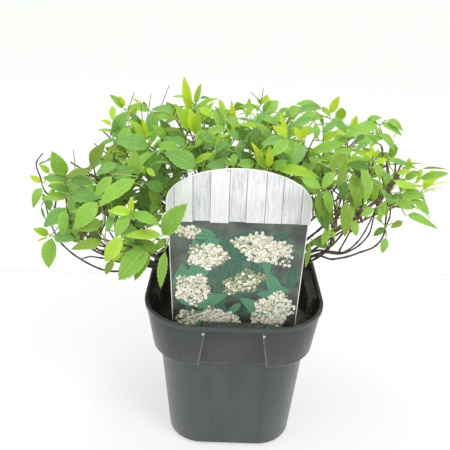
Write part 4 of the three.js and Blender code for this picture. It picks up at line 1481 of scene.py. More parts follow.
# %% Chosen points
# on the way from the stool, in millimetres
WIRES = [
    [(28, 0, 138), (66, 0, 168), (86, -4, 170), (103, -8, 178), (120, -8, 187), (125, -7, 203),
     (127, -4, 220), (119, 0, 256)],
    [(28, 2, 140), (67, 4, 171), (82, 2, 174), (95, 0, 176), (104, -4, 188), (112, -6, 210), (120, 0, 236)],
    [(27, 6, 136), (69, 8, 166), (94, 10, 168), (108, 13, 173), (117, 14, 185), (119, 11, 206), (120, 10, 230)],
    [(26, -4, 142), (70, -12, 175), (77, -20, 195), (79, -22, 214), (76, -20, 232), (72, -18, 242)],
    [(26, 6, 142), (76, 10, 168), (96, 14, 188), (105, 14, 202), (107, 14, 214), (110, 12, 230), (110, 8, 260)],
    [(90, -4, 180), (96, 2, 190), (102, 4, 206), (101, 4, 218), (100, 4, 234), (99, 6, 248)],
    [(77, -18, 186), (83, -12, 204), (83, -8, 215), (86, -4, 236), (88, 0, 252)],
    [(83, -8, 212), (87, -8, 225), (83, -10, 232), (76, -12, 238), (74, -12, 245)],
    [(78, -20, 206), (71, -24, 234), (74, -22, 239), (77, -20, 244), (79, -16, 254)],
    [(125, -6, 200), (125, 2, 237), (122, 4, 249), (118, 4, 260), (113, 2, 270)],
    [(-26, -2, 138), (-67, -8, 156), (-86, -14, 164), (-112, -22, 177), (-126, -26, 193),
     (-133, -28, 206), (-136, -26, 229)],
    [(-26, 2, 137), (-68, 4, 153), (-101, -10, 155), (-123, -16, 163), (-143, -20, 182), (-152, -18, 200),
     (-156, -16, 220)],
    [(-27, 0, 140), (-75, 0, 155), (-99, -10, 163), (-114, -14, 169), (-122, -16, 171), (-130, -18, 170)],
    [(-26, -6, 142), (-77, -16, 168), (-103, -30, 188), (-110, -32, 197), (-105, -31, 212), (-106, -28, 226)],
    [(-26, 4, 140), (-75, 0, 159), (-102, -6, 165), (-120, -12, 179), (-127, -14, 196), (-128, -12, 212),
     (-125, -10, 231)],
    [(-153, -18, 203), (-148, -14, 221), (-156, -12, 228), (-159, -10, 239), (-162, -8, 250), (-156, -8, 259)],
    [(-26, 6, 140), (-67, 10, 156), (-95, 10, 175), (-109, 8, 199), (-118, 4, 235), (-119, 4, 246)],
    [(-26, -8, 144), (-60, -20, 166), (-78, -28, 186), (-82, -32, 211), (-85, -34, 234)],
]
# upright twigs of younger, browner wood at the thin right front
BROWN_TWIGS = [
    [(104, -10, 209), (95, -20, 229), (91, -24, 243), (90, -26, 255), (90, -26, 262)],
    [(96, -12, 201), (100, -18, 225), (101, -20, 242), (101, -20, 257), (99, -20, 266)],
    [(82, -12, 190), (77, -20, 215), (73, -24, 231), (68, -26, 243), (63, -28, 255), (63, -28, 262)],
    [(113, -16, 227), (115, -18, 241), (110, -16, 257), (110, -14, 273), (106, -14, 278)],
    [(79, -12, 190), (81, -20, 210), (78, -22, 226), (78, -22, 237)],
]
print("chosen ways:", len(WIRES + BROWN_TWIGS))

# %% Sweep them out
WIRE_SEED = 77
WIRE_THICK = (1.1, 0.5)
BRANCH_THICK = (0.8, 0.42)
STOOL_REACH = 40  # a way that begins farther from the stool branches from another
WIRE_FOOT = (0.02, 0.2)  # shares along a main stem
WIRE_STRAY, WIRE_SWING = 26, 14
WIRE_SAG, WIRE_TURN_UP = (0, 0, -12), (0, 0, -18)


class Thread(Curve):
    """A smooth curve that passes through its points."""

    def at(self, t):
        points, last = self.controls, len(self.controls) - 1
        piece = min(int(t * last), last - 1)
        f = t * last - piece
        before, start = points[max(piece - 1, 0)], points[piece]
        end, after = points[piece + 1], points[min(piece + 2, last)]
        leaving, arriving = (end - before) / 2, (after - start) / 2
        return ((1 + 2 * f) * (1 - f) ** 2 * start + f * (1 - f) ** 2 * leaving
                + f * f * (3 - 2 * f) * end + f * f * (f - 1) * arriving)

    def way(self, t):
        return unit(self.at(min(1, t + 0.02)) - self.at(max(0, t - 0.02)))


def wiry_stems(random):
    shoots = []
    for corners in WIRES + BROWN_TWIGS:
        way = np.array(corners[0], dtype=float) - STOOL_CENTRE
        start, thick = STOOL_CENTRE + unit(way) * STOOL_RADIUS * 0.9, WIRE_THICK
        if np.linalg.norm(way) > STOOL_REACH:
            thick = BRANCH_THICK
            stems = np.concatenate([along(stem, 3) for stem in [shoot.curve for shoot in shoots] + cut_stems])
            start = stems[np.argmin(np.linalg.norm(stems - corners[0], axis=1))]
        shoots.append(Shoot(Thread(start, *corners), 0.75, thick, "wire"))
    for mass in masses:
        if mass.tier.name == "top":
            continue
        start = mass.bough.at(random.uniform(*WIRE_FOOT))
        end = mass.centre + random.uniform(-WIRE_STRAY, WIRE_STRAY, 3) * (1, 1, 0.6)
        aside = random.uniform(-WIRE_SWING, WIRE_SWING, 3) + WIRE_SAG
        curve = Curve(start, start + (end - start) * 0.35 + aside, end + WIRE_TURN_UP, end)
        bare = along(curve, 6)[4:]
        if clear_of_limbs(bare, 1.2) and in_profile(end[None]) and (outline_share(bare) < 1).all():
            shoots.append(Shoot(curve, 0.6, WIRE_THICK, "wire"))
    return shoots


wires = wiry_stems(np.random.default_rng(WIRE_SEED))
print("wiry stems:", len(wires))

# %% [markdown]
# ## A spirea leaf
# The blade is lance-shaped, broadest below the middle, with forward-pointing teeth, and it folds a little
# along its midrib and arches down towards its tip. One pattern of stations serves every leaf: each leaf
# bends, twists and scales it. A leaf has only a few dozen faces, because there are about a thousand.

# %% The pattern of stations
STATIONS = 20
STALK_SHARE = 0.07
ROUNDING = (0.78, 0.98)  # of the base and of the tip
TOOTH_DEPTH = 0.085
TOOTH_SHIFT, DIP_SHIFT = -0.012, 0.014  # along the leaf
THINNEST, TIP_HALF, STALK_HALF = 0.045, 0.012, 0.05  # shares of the half width
ARCH_SHORTENS = 0.35
RIPPLE = 21


def blade_pattern():
    """Shares along the leaf, half widths as shares of the broadest, and forward shifts of the edge."""
    s = np.linspace(STALK_SHARE, 1, STATIONS - 1)
    into = (s - STALK_SHARE) / (1 - STALK_SHARE)
    base, tip = ROUNDING
    half = np.clip(into, 0, 1) ** base * np.clip(1 - into, 0, 1) ** tip
    half = np.maximum(half / half.max(), THINNEST)
    tooth = np.where(np.arange(len(s)) % 2 == 0, 0.0, 1.0)
    tooth[[0, 1, -1]] = 0
    half *= 1 - TOOTH_DEPTH * tooth
    half[-1] = TIP_HALF
    shift = np.where(tooth > 0, TOOTH_SHIFT, DIP_SHIFT)
    shift[[0, -1]] = 0
    return np.append(0, s), np.append(STALK_HALF, half), np.append(0, shift)


ALONG, HALF, SHIFT = blade_pattern()
BLADE_FACES = [
    (station + 1 + column * STATIONS, station + column * STATIONS,
     station + (column + 1) * STATIONS, station + 1 + (column + 1) * STATIONS)
    for column in (0, 1) for station in range(STATIONS - 1)
]
BLADE_MAP = np.concatenate([np.column_stack((np.full(STATIONS, u), ALONG)) for u in (0.0, 0.5, 1.0)])
print("leaf:", len(BLADE_FACES), "faces")

# %% Bend one leaf
Leaf = namedtuple("Leaf", "root axis side face length width arch fold twist bend wave")


def blade(leaf):
    """The leaf's places: the left edge, the midrib and the right edge, station by station."""
    rows = []
    for edge in (-1, 0, 1):
        s = ALONG + SHIFT * abs(edge)
        out = edge * HALF * leaf.width / 2
        angle = leaf.twist * s
        sag = -leaf.arch * leaf.length * s**2
        lift = np.abs(out) * leaf.fold + abs(edge) * leaf.wave * leaf.width * np.sin(s * RIPPLE + edge) * HALF
        sway = leaf.bend * leaf.length * s**2
        side = out * np.cos(angle) - lift * np.sin(angle) + sway
        rise = out * np.sin(angle) + lift * np.cos(angle) + sag
        reach = s * leaf.length * (1 - ARCH_SHORTENS * leaf.arch * s)
        rows.append(leaf.root + reach[:, None] * leaf.axis + side[:, None] * leaf.side + rise[:, None] * leaf.face)
    return np.concatenate(rows)


TEST_SPOTS = [STATIONS + n for n in (4, 7, 10, 13, 17)] + [5, 9, 13] + [2 * STATIONS + n for n in (5, 9, 13)]
SKY_SHARES = 0.4, 0.18  # how much the upper face turns to the twig's tip and to the leaf's own
LEAF_ROLL = 0.45
LEAF_LOOSE = [(0.15, 0.6), (0.14, 0.42), (-0.5, 0.5), (-0.12, 0.12), (0, 0.05)]  # arch, fold, twist, bend, wave


def lean_leaf(curve, t, turn, splay, length, slim, random):
    """A leaf that leaves the twig at a splay and shows its upper face to the sky."""
    ahead, first, second = curve.across(t)
    outward = first * math.cos(turn) + second * math.sin(turn)
    axis = ahead * math.cos(splay) + outward * math.sin(splay)
    sky = np.array((0, 0, 1.0)) + SKY_SHARES[0] * ahead + SKY_SHARES[1] * unit(axis * (1, 1, 0))
    flat = unit(sky - sky.dot(axis) * axis)
    roll = random.uniform(-LEAF_ROLL, LEAF_ROLL)
    side = np.cross(axis, flat)
    face = flat * math.cos(roll) + side * math.sin(roll)
    loose = [random.uniform(*limits) for limits in LEAF_LOOSE]
    return Leaf(curve.at(t), axis, np.cross(axis, face), face, length, length * slim, *loose)


# %% [markdown]
# ## Placed leaves
# The leaves that one sees first stand on the crown's outer shell: at its corners, over the label's edge and
# low at the sides. They are placed one by one, by root and tip. Each faces the light and the bench, and a
# thin shoot brings it from the nearest wood. The leaves that are grown afterwards fill in behind them.

# %% Leaves with a place of their own
# root, tip, width and arch; a row leaves out the usual arch, or the usual width and arch
PLACED = {
    "leaves_mid": [
        (-139, -11, 240, -145, -19, 265, 16, 0.2), (-149, -38, 242, -156, -44, 227, 8, 0.8),
        (-125, -53, 242, -142, -60, 242), (-123, -69, 240, -125, -77, 221),
        (-137, -63, 214, -140, -71, 191, 12, 0.35), (-67, -93, 274, -91, -106, 258, 11),
        (-91, -100, 260, -106, -111, 244, 12, 0.25), (-84, -87, 273, -95, -95, 260, 8, 0.2),
        (-70, -111, 256, -78, -119, 243, 9), (-76, -69, 238, -55, -77, 232, 9, 0.35),
        (-56, -66, 218, -36, -77, 250, 15, 0.15), (-65, -59, 209, -88, -72, 183, 18, 0.2),
        (-54, -58, 204, -57, -69, 175), (-99, 42, 284, -110, 36, 297, 7, 0.25),
        (-86, 41, 284, -96, 38, 287, 4, 0.4), (-88, 8, 289, -100, 3, 282, 9, 0.4),
        (-76, -30, 282, -87, -35, 290), (-20, -15, 302, -13, -22, 286, 9, 0.4),
        (-10, -39, 292, -28, -46, 291, 6, 0.5), (-59, -14, 297, -70, -20, 286, 9, 0.5),
        (-71, -69, 266, -71, -77, 288, 13, 0.2), (-65, -44, 283, -58, -49, 293, 8, 0.2),
        (14, 18, 294, -2, 13, 296, 5, 0.5), (18, 22, 290, 25, 17, 300), (30, 11, 291, 37, 8, 298, 6, 0.4),
        (58, 0, 297, 44, -6, 289, 8, 0.4), (65, 0, 294, 49, -6, 291, 5, 0.4), (54, -28, 296, 55, -33, 285, 7),
        (33, -55, 292, 20, -63, 281, 8, 0.2), (23, -44, 265, 34, -49, 274, 10), (50, -48, 280, 72, -58, 291),
        (11, -44, 269, -3, -49, 269), (-5, -44, 277, -5, -49, 267), (110, 6, 288, 81, -5, 279, 11),
        (120, 35, 280, 137, 28, 272, 9, 1.1), (115, 16, 277, 127, 10, 264, 8, 0.9),
        (76, -56, 279, 86, -61, 279, 5), (83, -88, 270, 75, -94, 286, 8, 0.2), (94, -58, 277, 98, -63, 267, 7),
        (130, -16, 250, 140, -21, 259), (139, -23, 253, 158, -31, 262, 7, 0.35), (117, -51, 250, 133, -58, 254),
        (111, -64, 250, 125, -70, 253, 4), (41, -70, 269, 55, -76, 264, 11), (74, -96, 251, 77, -101, 241, 10),
        (90, -86, 255, 80, -91, 251, 6), (106, -70, 226, 104, -75, 215), (129, -40, 230, 151, -50, 224, 7, 1.1),
        (56, -49, 211, 53, -57, 190, 4, 0.2), (-71, -47, 226, -89, -54, 226),
        (-76, -57, 207, -90, -65, 195, 10, 0.35), (-53, -52, 210, -62, -57, 201, 7),
        (-51, -3, 290, -72, -11, 293), (-55, -38, 283, -64, -43, 295, 10), (-80, -37, 292, -88, -45, 276, 9),
        (-76, 34, 285, -92, 28, 290), (-26, -48, 295, -32, -53, 284), (-43, -60, 283, -57, -66, 288),
        (59, -69, 262, 63, -77, 245, 7), (89, -69, 272, 85, -77, 254, 6), (63, -70, 275, 56, -76, 263),
        (79, -70, 251, 75, -76, 236, 6), (101, -70, 254, 97, -76, 240, 5), (65, -70, 233, 60, -76, 220, 6),
        (76, -54, 285, 62, -60, 280, 7), (47, 14, 298, 34, 9, 289), (66, 42, 292, 46, 36, 294),
        (124, 34, 284, 137, 29, 276, 8, 0.8), (108, 42, 280, 120, 37, 285, 8, 0.4),
        (111, -68, 250, 121, -73, 250, 5), (-59, -44, 238, -66, -49, 228), (-12, -24, 297, -1, -29, 291),
        (-23, 8, 296, -35, 3, 293, 7), (32, -8, 299, 25, -13, 290, 7),
    ],
    "leaves_fresh": [
        (-147, -23, 248, -154, -26, 256), (-144, -48, 207, -155, -53, 214, 8, 0.25),
        (-69, -110, 257, -82, -116, 260), (-55, -64, 218, -82, -75, 222, 8, 0.4),
        (-73, -119, 245, -84, -127, 230, 12, 0.2), (-89, 21, 282, -84, 18, 292, 5, 0.1),
        (-97, -12, 280, -109, -17, 282, 3, 0.2), (-38, 32, 292, -33, 26, 311, 5, 0.1),
        (-43, 27, 277, -55, 20, 296, 6, 0.4), (-44, 32, 297, -57, 27, 299, 3, 0.5),
        (-34, -23, 282, -31, -31, 304, 7, 0.15), (-36, 30, 290, -18, 24, 300, 4, 0.5),
        (-33, -2, 298, -21, -7, 292, 7, 0.4), (-18, 28, 298, -12, 22, 283, 5, 0.8),
        (-70, -27, 279, -82, -35, 296, 7, 0.2), (-34, -44, 267, -19, -50, 278, 6),
        (-65, -71, 273, -58, -74, 268, 8, 0.2), (16, 15, 298, 12, 13, 304, 3, 0.1),
        (76, 35, 285, 67, 32, 294, 5, 0.2), (60, -32, 284, 69, -37, 293, 8, 0.2),
        (12, -30, 292, -3, -35, 295, 4, 0.5), (20, -44, 265, 9, -49, 278, 6, 0.1),
        (24, -41, 265, 58, -54, 263, 9, 0.35), (110, -33, 270, 115, -36, 274, 4, 0.2),
        (116, -38, 263, 125, -43, 266, 5), (109, -56, 264, 119, -61, 260, 5), (116, -50, 260, 127, -55, 257, 5),
        (67, -71, 230, 69, -74, 225, 4, 0.2), (-82, -57, 210, -94, -65, 194), (-40, -13, 283, -49, -21, 303),
        (-31, 3, 285, -21, -4, 304, 6),
    ],
    "leaves_lime": [
        (-152, -31, 243, -159, -34, 250, 5, 0.2), (-125, -52, 245, -137, -58, 255, 7, 0.4),
        (-143, -53, 208, -152, -56, 205, 2, 0.2), (-70, -71, 274, -77, -74, 277, 7, 0.2),
        (-72, -66, 272, -75, -71, 284, 4, 0.1), (-70, -108, 256, -67, -113, 269, 5, 0.1),
        (-98, 41, 286, -102, 38, 296, 4, 0.1), (-90, 27, 280, -92, 24, 291, 4, 0.1),
        (-105, 17, 277, -113, 14, 281, 5, 0.2), (-85, 41, 289, -91, 38, 294, 3, 0.1),
        (-43, 38, 284, -47, 28, 316, 8, 0.15), (-35, -21, 282, -38, -29, 305, 7, 0.15),
        (-5, -8, 279, -8, -18, 309, 5, 0.1), (-69, -26, 280, -73, -32, 297, 4, 0.1),
        (16, 15, 298, 21, 12, 307, 4, 0.1), (35, -21, 283, 27, -28, 304, 4, 0.1),
        (34, -36, 286, 21, -42, 297, 7), (43, -37, 286, 37, -40, 296, 5, 0.1),
        (45, -32, 285, 47, -37, 297, 6, 0.1), (71, 12, 293, 76, 6, 309, 7, 0.1),
        (19, -43, 265, 6, -51, 288, 5, 0.1), (21, -44, 265, 20, -50, 285, 6, 0.1),
        (95, 33, 276, 97, 30, 288, 6, 0.1), (97, -37, 274, 93, -40, 285, 4, 0.1),
        (98, -37, 274, 100, -40, 282, 3, 0.2), (95, -45, 277, 88, -48, 281, 4, 0.2),
        (98, -45, 273, 105, -48, 277, 6, 0.2), (66, -71, 231, 63, -74, 225, 4, 0.2),
    ],
    "leaves_olive": [
        (-106, -59, 264, -122, -66, 262), (-88, -107, 234, -108, -116, 232),
        (-88, -103, 246, -105, -111, 244, 13, 0.25), (-108, -51, 264, -94, -59, 285, 11, 0.2),
        (-81, -114, 225, -86, -119, 216, 7, 0.2), (-80, 41, 284, -82, 38, 292, 4, 0.1),
        (-47, -22, 295, -62, -28, 288, 3, 0.5), (119, 42, 278, 105, 37, 281, 5), (72, -62, 285, 61, -68, 275),
        (72, -87, 281, 74, -95, 263, 8, 0.2), (141, -19, 260, 158, -26, 263, 2, 0.7),
        (64, -70, 249, 62, -76, 234, 6, 0.2), (69, -92, 264, 69, -103, 241, 8, 0.2),
        (97, -71, 241, 101, -73, 239, 5), (116, -71, 239, 107, -74, 235, 10, 0.4),
        (101, -70, 253, 102, -75, 244, 5, 0.2), (-56, -50, 229, -69, -56, 219), (-59, -48, 234, -66, -54, 252),
        (-64, -62, 205, -76, -72, 183, 9), (-41, -42, 285, -55, -48, 294), (-89, -62, 280, -94, -67, 269, 7),
        (-80, -52, 276, -93, -58, 282), (54, -69, 259, 58, -77, 239), (83, -69, 270, 79, -78, 249, 7),
        (71, -70, 277, 66, -76, 265, 7), (-60, -58, 200, -72, -64, 215),
    ],
    # some of these deep leaves fill the crown's dark middle as painted shade
    "leaves_deep": [
        (-119, -68, 261, -101, -74, 261, 11, 0.2), (-121, -71, 222, -117, -74, 215, 7),
        (-72, -20, 284, -77, -25, 294, 7, 0.2), (-4, -9, 297, -12, -12, 293, 4, 0.6),
        (11, -42, 296, 7, -47, 286, 9, 0.2), (94, -19, 286, 86, -22, 281, 7), (90, -61, 274, 71, -68, 279),
        (105, -69, 256, 113, -72, 259, 6), (52, -68, 257, 62, -79, 233, 11, 0.25),
        (104, -71, 234, 96, -74, 228), (66, -70, 217, 51, -75, 222), (-66, -44, 220, -79, -49, 218),
        (-77, -38, 242, -91, -44, 236), (-62, -38, 237, -75, -43, 231), (-52, -32, 283, -59, -38, 298),
        (-39, -46, 285, -52, -52, 293), (68, -69, 271, 72, -77, 255, 7), (121, -48, 254, 134, -54, 250, 7),
        (-79, -56, 203, -65, -61, 216), (-52, -38, 255, -61, -43, 245), (-105, -28, 224, -114, -33, 215),
        (-120, -28, 197, -106, -33, 207, 7), (-140, -34, 208, -127, -39, 221),
        (-6, -18, 272, -20, -24, 264, 10), (-3, -8, 259, -14, -13, 267), (10, -18, 261, 0, -23, 271, 9),
        (4, -8, 275, -5, -13, 286, 9), (16, -18, 287, 7, -23, 278, 10), (40, -38, 277, 51, -43, 270),
        (-17, 22, 284, -26, 17, 277), (-27, -28, 265, -37, -33, 260), (-44, -39, 262, -53, -42, 269, 7),
        (62, -28, 263, 71, -33, 257),
    ],
    "leaves_blue": [
        (-119, -69, 250, -96, -77, 253, 13, 0.25), (-142, -45, 237, -142, -48, 227, 7),
        (-123, -63, 237, -140, -71, 225, 12, 0.35), (-150, -43, 229, -147, -46, 219, 2),
        (-134, -70, 217, -116, -76, 218, 11, 0.4), (-89, -69, 265, -70, -76, 273, 10),
        (-84, -67, 274, -99, -74, 267), (-81, -110, 255, -84, -115, 245, 5, 0.2),
        (-90, -38, 282, -104, -44, 277, 4, 0.6), (-94, -14, 278, -95, -19, 291, 8, 0.2),
        (-34, 29, 298, -25, 26, 299, 3, 0.5), (-52, 9, 291, -71, 2, 294, 8, 0.6),
        (-65, -46, 280, -89, -56, 286, 13, 0.35), (-30, -68, 273, -52, -78, 287, 15),
        (-39, -52, 284, -50, -57, 290, 9), (-18, -58, 282, -9, -63, 292), (67, 27, 294, 41, 19, 291, 8, 0.6),
        (69, -6, 294, 82, -12, 284, 8, 0.7), (33, -49, 290, 13, -57, 287),
        (43, -61, 291, 35, -68, 277, 13, 0.2), (100, -11, 282, 105, -14, 277, 6),
        (93, -35, 285, 84, -38, 280, 7), (111, -25, 268, 133, -34, 265, 5, 1.2),
        (101, -60, 273, 103, -65, 264, 7, 0.2), (97, -71, 264, 100, -74, 258, 6, 0.2),
        (-132, -32, 245, -148, -38, 250), (-122, -53, 246, -138, -60, 253, 7, 0.4),
        (-55, -48, 247, -69, -54, 255, 9), (-68, -20, 298, -66, -26, 282, 11),
        (-87, -9, 295, -98, -17, 276, 11), (-78, -4, 281, -86, -9, 295, 7), (-19, -48, 285, -30, -53, 293),
        (71, -16, 294, 61, -21, 286), (54, -12, 296, 38, -18, 290), (106, 10, 283, 93, 5, 280, 7),
        (-2, -44, 286, -11, -49, 295), (-19, -8, 275, -28, -13, 268), (20, -8, 298, 11, -13, 291),
    ],
}
print("placed leaves:", sum(len(rows) for rows in PLACED.values()))

# %% Pose a placed leaf
TOWARDS_BENCH = np.array((0, -0.75, 0.66))
BROADEST = 0.46  # width as a share of the length
USUAL = (8, 0.3)  # width and arch
PLACED_FOLD, PLACED_WAVE = 0.3, 0.03
SWAY = 0.16


def pose_leaf(row):
    """A leaf whose arched blade starts at its root and ends at its tip."""
    row = (*row, *USUAL[len(row) - 6:])
    root, tip, width, arch = np.array(row[:3], dtype=float), np.array(row[3:6], dtype=float), row[6], row[7]
    chord = unit(tip - root)
    normal = unit(TOWARDS_BENCH - TOWARDS_BENCH.dot(chord) * chord)
    reach = 1 - ARCH_SHORTENS * arch
    angle = math.atan2(arch, reach)
    axis = chord * math.cos(angle) + normal * math.sin(angle)
    face = normal * math.cos(angle) - chord * math.sin(angle)
    length = distance(root, tip) / math.hypot(arch, reach)
    width = min(width, BROADEST * length)
    twist = 2 * (SWAY * math.sin(sum(row)))
    return Leaf(root, axis, np.cross(axis, face), face, length, width, arch, PLACED_FOLD, twist, 0, PLACED_WAVE)


# %% [markdown]
# ## Leafing out
# Leaves follow a golden-angle spiral up each shoot. Each tries a few turns of it until it has room. Tints
# are dealt out by spray: a shoot in the crown's depth is deep green, partly as painted shade, one outside is
# fresh, and the tuft at each tip is lime.

# %% Lay a leaf where it has room
VEIL = 3.5  # a grown leaf keeps this far from hiding a placed one
LEAF_CLEARANCE = 1.2  # from the stems
crowd = Crowd()
leaf_bundles = {name: Bundle() for name in LEAF_TINTS}
leaf_counts = dict.fromkeys(LEAF_TINTS, 0)


def lay(leaf, tint):
    places = blade(leaf)
    crowd.add(places[TEST_SPOTS])
    leaf_bundles[tint].add(places, BLADE_FACES, BLADE_MAP)
    leaf_counts[tint] += 1


placed_leaves = [(pose_leaf(row), tint) for tint, rows in PLACED.items() for row in rows]
# the first cut stem and the brown twigs are kept in sight as well
shown_wood = [along(curve, 3)[8:] for curve in cut_stems[:1] + [Thread(*corners) for corners in BROWN_TWIGS]]
placed_spots = np.concatenate([blade(leaf)[TEST_SPOTS] for leaf, _ in placed_leaves] + shown_wood)
PLACED_SEEN = np.column_stack((*from_bench(placed_spots), placed_spots[:, 1]))


def hides_placed(points):
    x, z = from_bench(points)
    near = np.hypot(x[:, None] - PLACED_SEEN[:, 0], z[:, None] - PLACED_SEEN[:, 1]) < VEIL
    return bool((near & (points[:, 1][:, None] < PLACED_SEEN[:, 2] + 2)).any())


def hang(mass, leaf, tint, apart):
    """Lays a leaf if nothing is in its way, and says whether it did."""
    spots = blade(leaf)[TEST_SPOTS]
    in_view = in_profile(spots) and not hides_placed(spots)
    if not (in_view and crowd.clear(spots, apart) and clear_of_limbs(spots, LEAF_CLEARANCE)):
        return False
    if not (allowed(mass, spots) if mass else in_box(spots)):
        return False
    lay(leaf, tint)
    return True


# %% Leaf out a shoot
LEAF_STEP = {"leader": 8.5, "twig": 7.5, "side": 7, "wire": 14}
LEAF_LENGTH = {"leader": (31, 46), "twig": (31, 46), "side": (23, 38), "wire": (14, 28)}
THIN_LEAF = (13, 25)
YOUNG_LEAF = (12, 26)
LEAF_SLIM, YOUNG_SLIM = (0.36, 0.48), (0.26, 0.36)  # width as a share of the length
LEAF_SPLAY, YOUNG_SPLAY = (42, 78), (6, 30)  # in degrees
LEAF_APART, YOUNG_APART = 4.0, 1.6
LEAF_TURNS = 7
TINT_EDGES = (0.4, 0.45, 0.56, 0.88)
OUTSIDE = 0.72  # depth from the centre, as a share
TUFTED = 0.62  # share of outside shoots with a tuft of young leaves
THIN_FROM, THIN_BELOW, THIN_BEHIND = 62, 262, 34


def pick_tint(depth, height, lean, random):
    """Deep green inside and low down, partly as painted shade in the crown's depth, fresher outside and high up."""
    # painted shade: shoots deep inside and low down get the darker tints
    light = 0.55 * depth + 0.4 * height + lean + random.uniform(-0.16, 0.16)
    return list(LEAF_TINTS)[int(np.digitize(light, TINT_EDGES))]


def is_thin_place(point):
    """The crown is thin at its right front, where brown twigs show through."""
    x, z = from_bench(point[None])
    return x[0] > THIN_FROM and z[0] < THIN_BELOW and point[1] < THIN_BEHIND


def leaf_out(mass, shoot, random):
    curve = shoot.curve
    lean = random.uniform(-0.12, 0.12) + 0.08 * curve.at(1)[0] / 150
    middle = curve.at(0.6)
    depth = float(outline_share(middle[None])[0]) ** 0.5
    height = (middle[2] - 180) / 110
    count = max(2, round(curve.length() * (1 - shoot.bare) / LEAF_STEP[shoot.kind]))
    size = LEAF_LENGTH[shoot.kind]
    if is_thin_place(middle):
        size, count = THIN_LEAF, max(1, count // 2)
    hung = 0
    for number in reversed(range(count)):
        t = shoot.bare + (0.95 - shoot.bare) * (number + 0.5) / count
        length = random.uniform(*size) * (1 - 0.2 * number / count)
        tint = pick_tint(depth, height, lean + 0.12 * number / count, random)
        for turn in range(LEAF_TURNS):
            splay = math.radians(random.uniform(*LEAF_SPLAY))
            angle = number * GOLDEN + turn * 1.05 + random.uniform(-0.3, 0.3)
            slim = random.uniform(*LEAF_SLIM)
            leaf = lean_leaf(curve, t, angle, splay, length * (1 - 0.05 * turn), slim, random)
            if hang(mass, leaf, tint, LEAF_APART):
                hung += 1
                break
    outside = depth > OUTSIDE and random.random() < TUFTED
    for number in range(random.integers(2, 4) if outside else 1):
        splay = math.radians(random.uniform(*YOUNG_SPLAY))
        angle = number * 2.1 + random.uniform(-0.4, 0.4)
        slim = random.uniform(*YOUNG_SLIM)
        leaf = lean_leaf(curve, 1, angle, splay, random.uniform(*YOUNG_LEAF), slim, random)
        hung += hang(mass, leaf, "leaves_lime" if outside else "leaves_fresh", YOUNG_APART)
    return hung


# %% Leaf out the crown
LEAF_SEED = 5
random = np.random.default_rng(LEAF_SEED)
for leaf, tint in placed_leaves:
    lay(leaf, tint)
for number, (mass, spray) in enumerate(zip(masses, sprays)):
    leafy = [(shoot, leaf_out(mass, shoot, random)) for shoot in spray]
    sprays[number] = [shoot for shoot, hung in leafy if shoot.kind != "side" or hung > 1]
for shoot in wires:
    leaf_out(None, shoot, random)
foliage_nodes = [f"foliage_{mass.name}" for mass in masses]
for name, bundle in leaf_bundles.items():
    hand_over(bundle.make(name), LEAF_TINTS[name], "foliage", *foliage_nodes)
print("leaves:", leaf_counts, sum(leaf_counts.values()))

# %% [markdown]
# ## Thin wood
# Twigs are brown and side shoots green. A bare dead tip here and there stands above the leaves.

# %% Dead tips and a split end
# where each dead tip begins and ends
DEAD_TIPS = [
    ((-93, 14, 284), (-85, 14, 305)), ((-77, 16, 277), (-72, 16, 304)), ((-69, 22, 282), (-58, 22, 310)),
    ((-132, -6, 235), (-132, -6, 262)), ((120, 4, 255), (148, 4, 257)), ((16, 14, 302), (17, 14, 311)),
    ((14, 14, 302), (7, 14, 308)), ((-79, 12, 283), (-80, 12, 299)), ((127, -13, 248), (121, -13, 262)),
]
# the thick cut stem is split at its end
SPLIT_FOOT = (124, -12, 246)
SPLIT_TIPS = [(127, -13, 264), (122, -13, 263), (130, -12, 259)]
print("dead tips:", len(DEAD_TIPS))


# %% The nearest wood
CLIMB_COST = 0.6  # how much farther a start above the place counts, for each step up
SHOOT_DIP, SHOOT_ARRIVAL = (0, 0, -0.06), 0.16


def all_wood():
    """Points along all wood, past the first steps in the stool or a main stem's foot."""
    rows = [along(shoot.curve, 4) for spray in sprays for shoot in spray]
    rows += [along(shoot.curve, 4)[3:] for shoot in wires]
    rows += [along(mass.bough, 4)[4:] for mass in masses]
    return np.concatenate(rows)


wood = all_wood()


def nearest_wood(place):
    """The best point to branch from: near, and not above the place."""
    cost = np.linalg.norm(wood - place, axis=1) + CLIMB_COST * np.maximum(0, wood[:, 2] - place[2])
    return wood[np.argmin(cost)]


def carrying_curve(place, way):
    """A thin shoot from the nearest wood to a place, arriving along a direction."""
    start = nearest_wood(place)
    span = distance(start, place)
    dip = np.multiply(SHOOT_DIP, span)
    return Curve(start, start + (place - start) * 0.4 + dip, place - way * SHOOT_ARRIVAL * span, place)


# %% Twigs as tubes
DEAD_THICK = (0.45, 0.24)
SPLIT_THICK = (1.0, 0.65)
SHARED_SHOOT = 2.5  # leaves whose roots are nearer than this share a shoot
THIN_SIDES, WIRE_SIDES = 6, 7
THIN_RELIEF, SPLIT_RELIEF = 0.1, 0.2
WIRE_NODES, DEAD_NODES = 13, 9  # from one node to the next
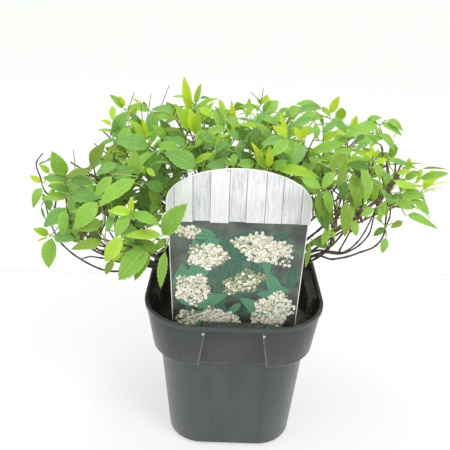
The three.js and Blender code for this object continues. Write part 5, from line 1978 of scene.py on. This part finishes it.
# the step along a curve and how far the wood strays from it
TWIG_WANDER, WIRE_WANDER, CHOSEN_WANDER = (4, 1.0), (2.5, 4), (2.5, 1.4)
CARRIED_WANDER, DEAD_WANDER = (4, 1.6), (3, 1.5)
SPRAY_BENDS, WIRE_BENDS, CARRIED_BENDS, DEAD_BENDS = 31, 900, 1300, 1500  # seeds of the bends
twig_wood, shoot_wood, wire_wood, dead_wood = (Bundle() for _ in range(4))
for number, spray in enumerate(sprays):
    for place, shoot in enumerate(spray):
        bundle = shoot_wood if shoot.kind == "side" else twig_wood
        points = wandering(shoot.curve, *TWIG_WANDER, number * SPRAY_BENDS + place)
        tube(bundle, points, shoot.thick, THIN_SIDES)
for number, shoot in enumerate(wires):
    wander = CHOSEN_WANDER if isinstance(shoot.curve, Thread) else WIRE_WANDER
    points = wandering(shoot.curve, *wander, WIRE_BENDS + number)
    bundle = twig_wood if len(WIRES) <= number < len(WIRES + BROWN_TWIGS) else wire_wood
    tube(bundle, points, shoot.thick, WIRE_SIDES, THIN_RELIEF, WIRE_NODES)
carried = []
waiting = sorted(placed_leaves, key=lambda item: distance(item[0].root, nearest_wood(item[0].root)))
for number, (leaf, _) in enumerate(waiting):
    if any(distance(leaf.root, other) < SHARED_SHOOT for other in carried):
        continue
    carried.append(leaf.root)
    points = wandering(carrying_curve(leaf.root, leaf.axis), *CARRIED_WANDER, CARRIED_BENDS + number)
    wood = np.vstack((wood, points))
    tube(shoot_wood, points, SIDE_THICK, THIN_SIDES)
for number, (start, tip) in enumerate(np.array(DEAD_TIPS, dtype=float)):
    points = wandering(carrying_curve(start, unit(tip - start)), *DEAD_WANDER, DEAD_BENDS + number)
    points = np.vstack((points, np.linspace(start, tip, 6)[1:]))
    tube(dead_wood, points, DEAD_THICK, THIN_SIDES, THIN_RELIEF, DEAD_NODES)
for tip in SPLIT_TIPS:
    tube(twig_wood, np.linspace(SPLIT_FOOT, tip, 6), SPLIT_THICK, WIRE_SIDES, SPLIT_RELIEF)
hand_over(twig_wood.make("twigs"), YOUNG_WOOD, "bark", *foliage_nodes)
hand_over(shoot_wood.make("green_shoots"), GREEN_SHOOT, "foliage", *foliage_nodes)
hand_over(wire_wood.make("wiry_stems"), WOOD, "bark", *foliage_nodes)
hand_over(dead_wood.make("dead_tips"), DEAD_WOOD, "bark", *foliage_nodes)
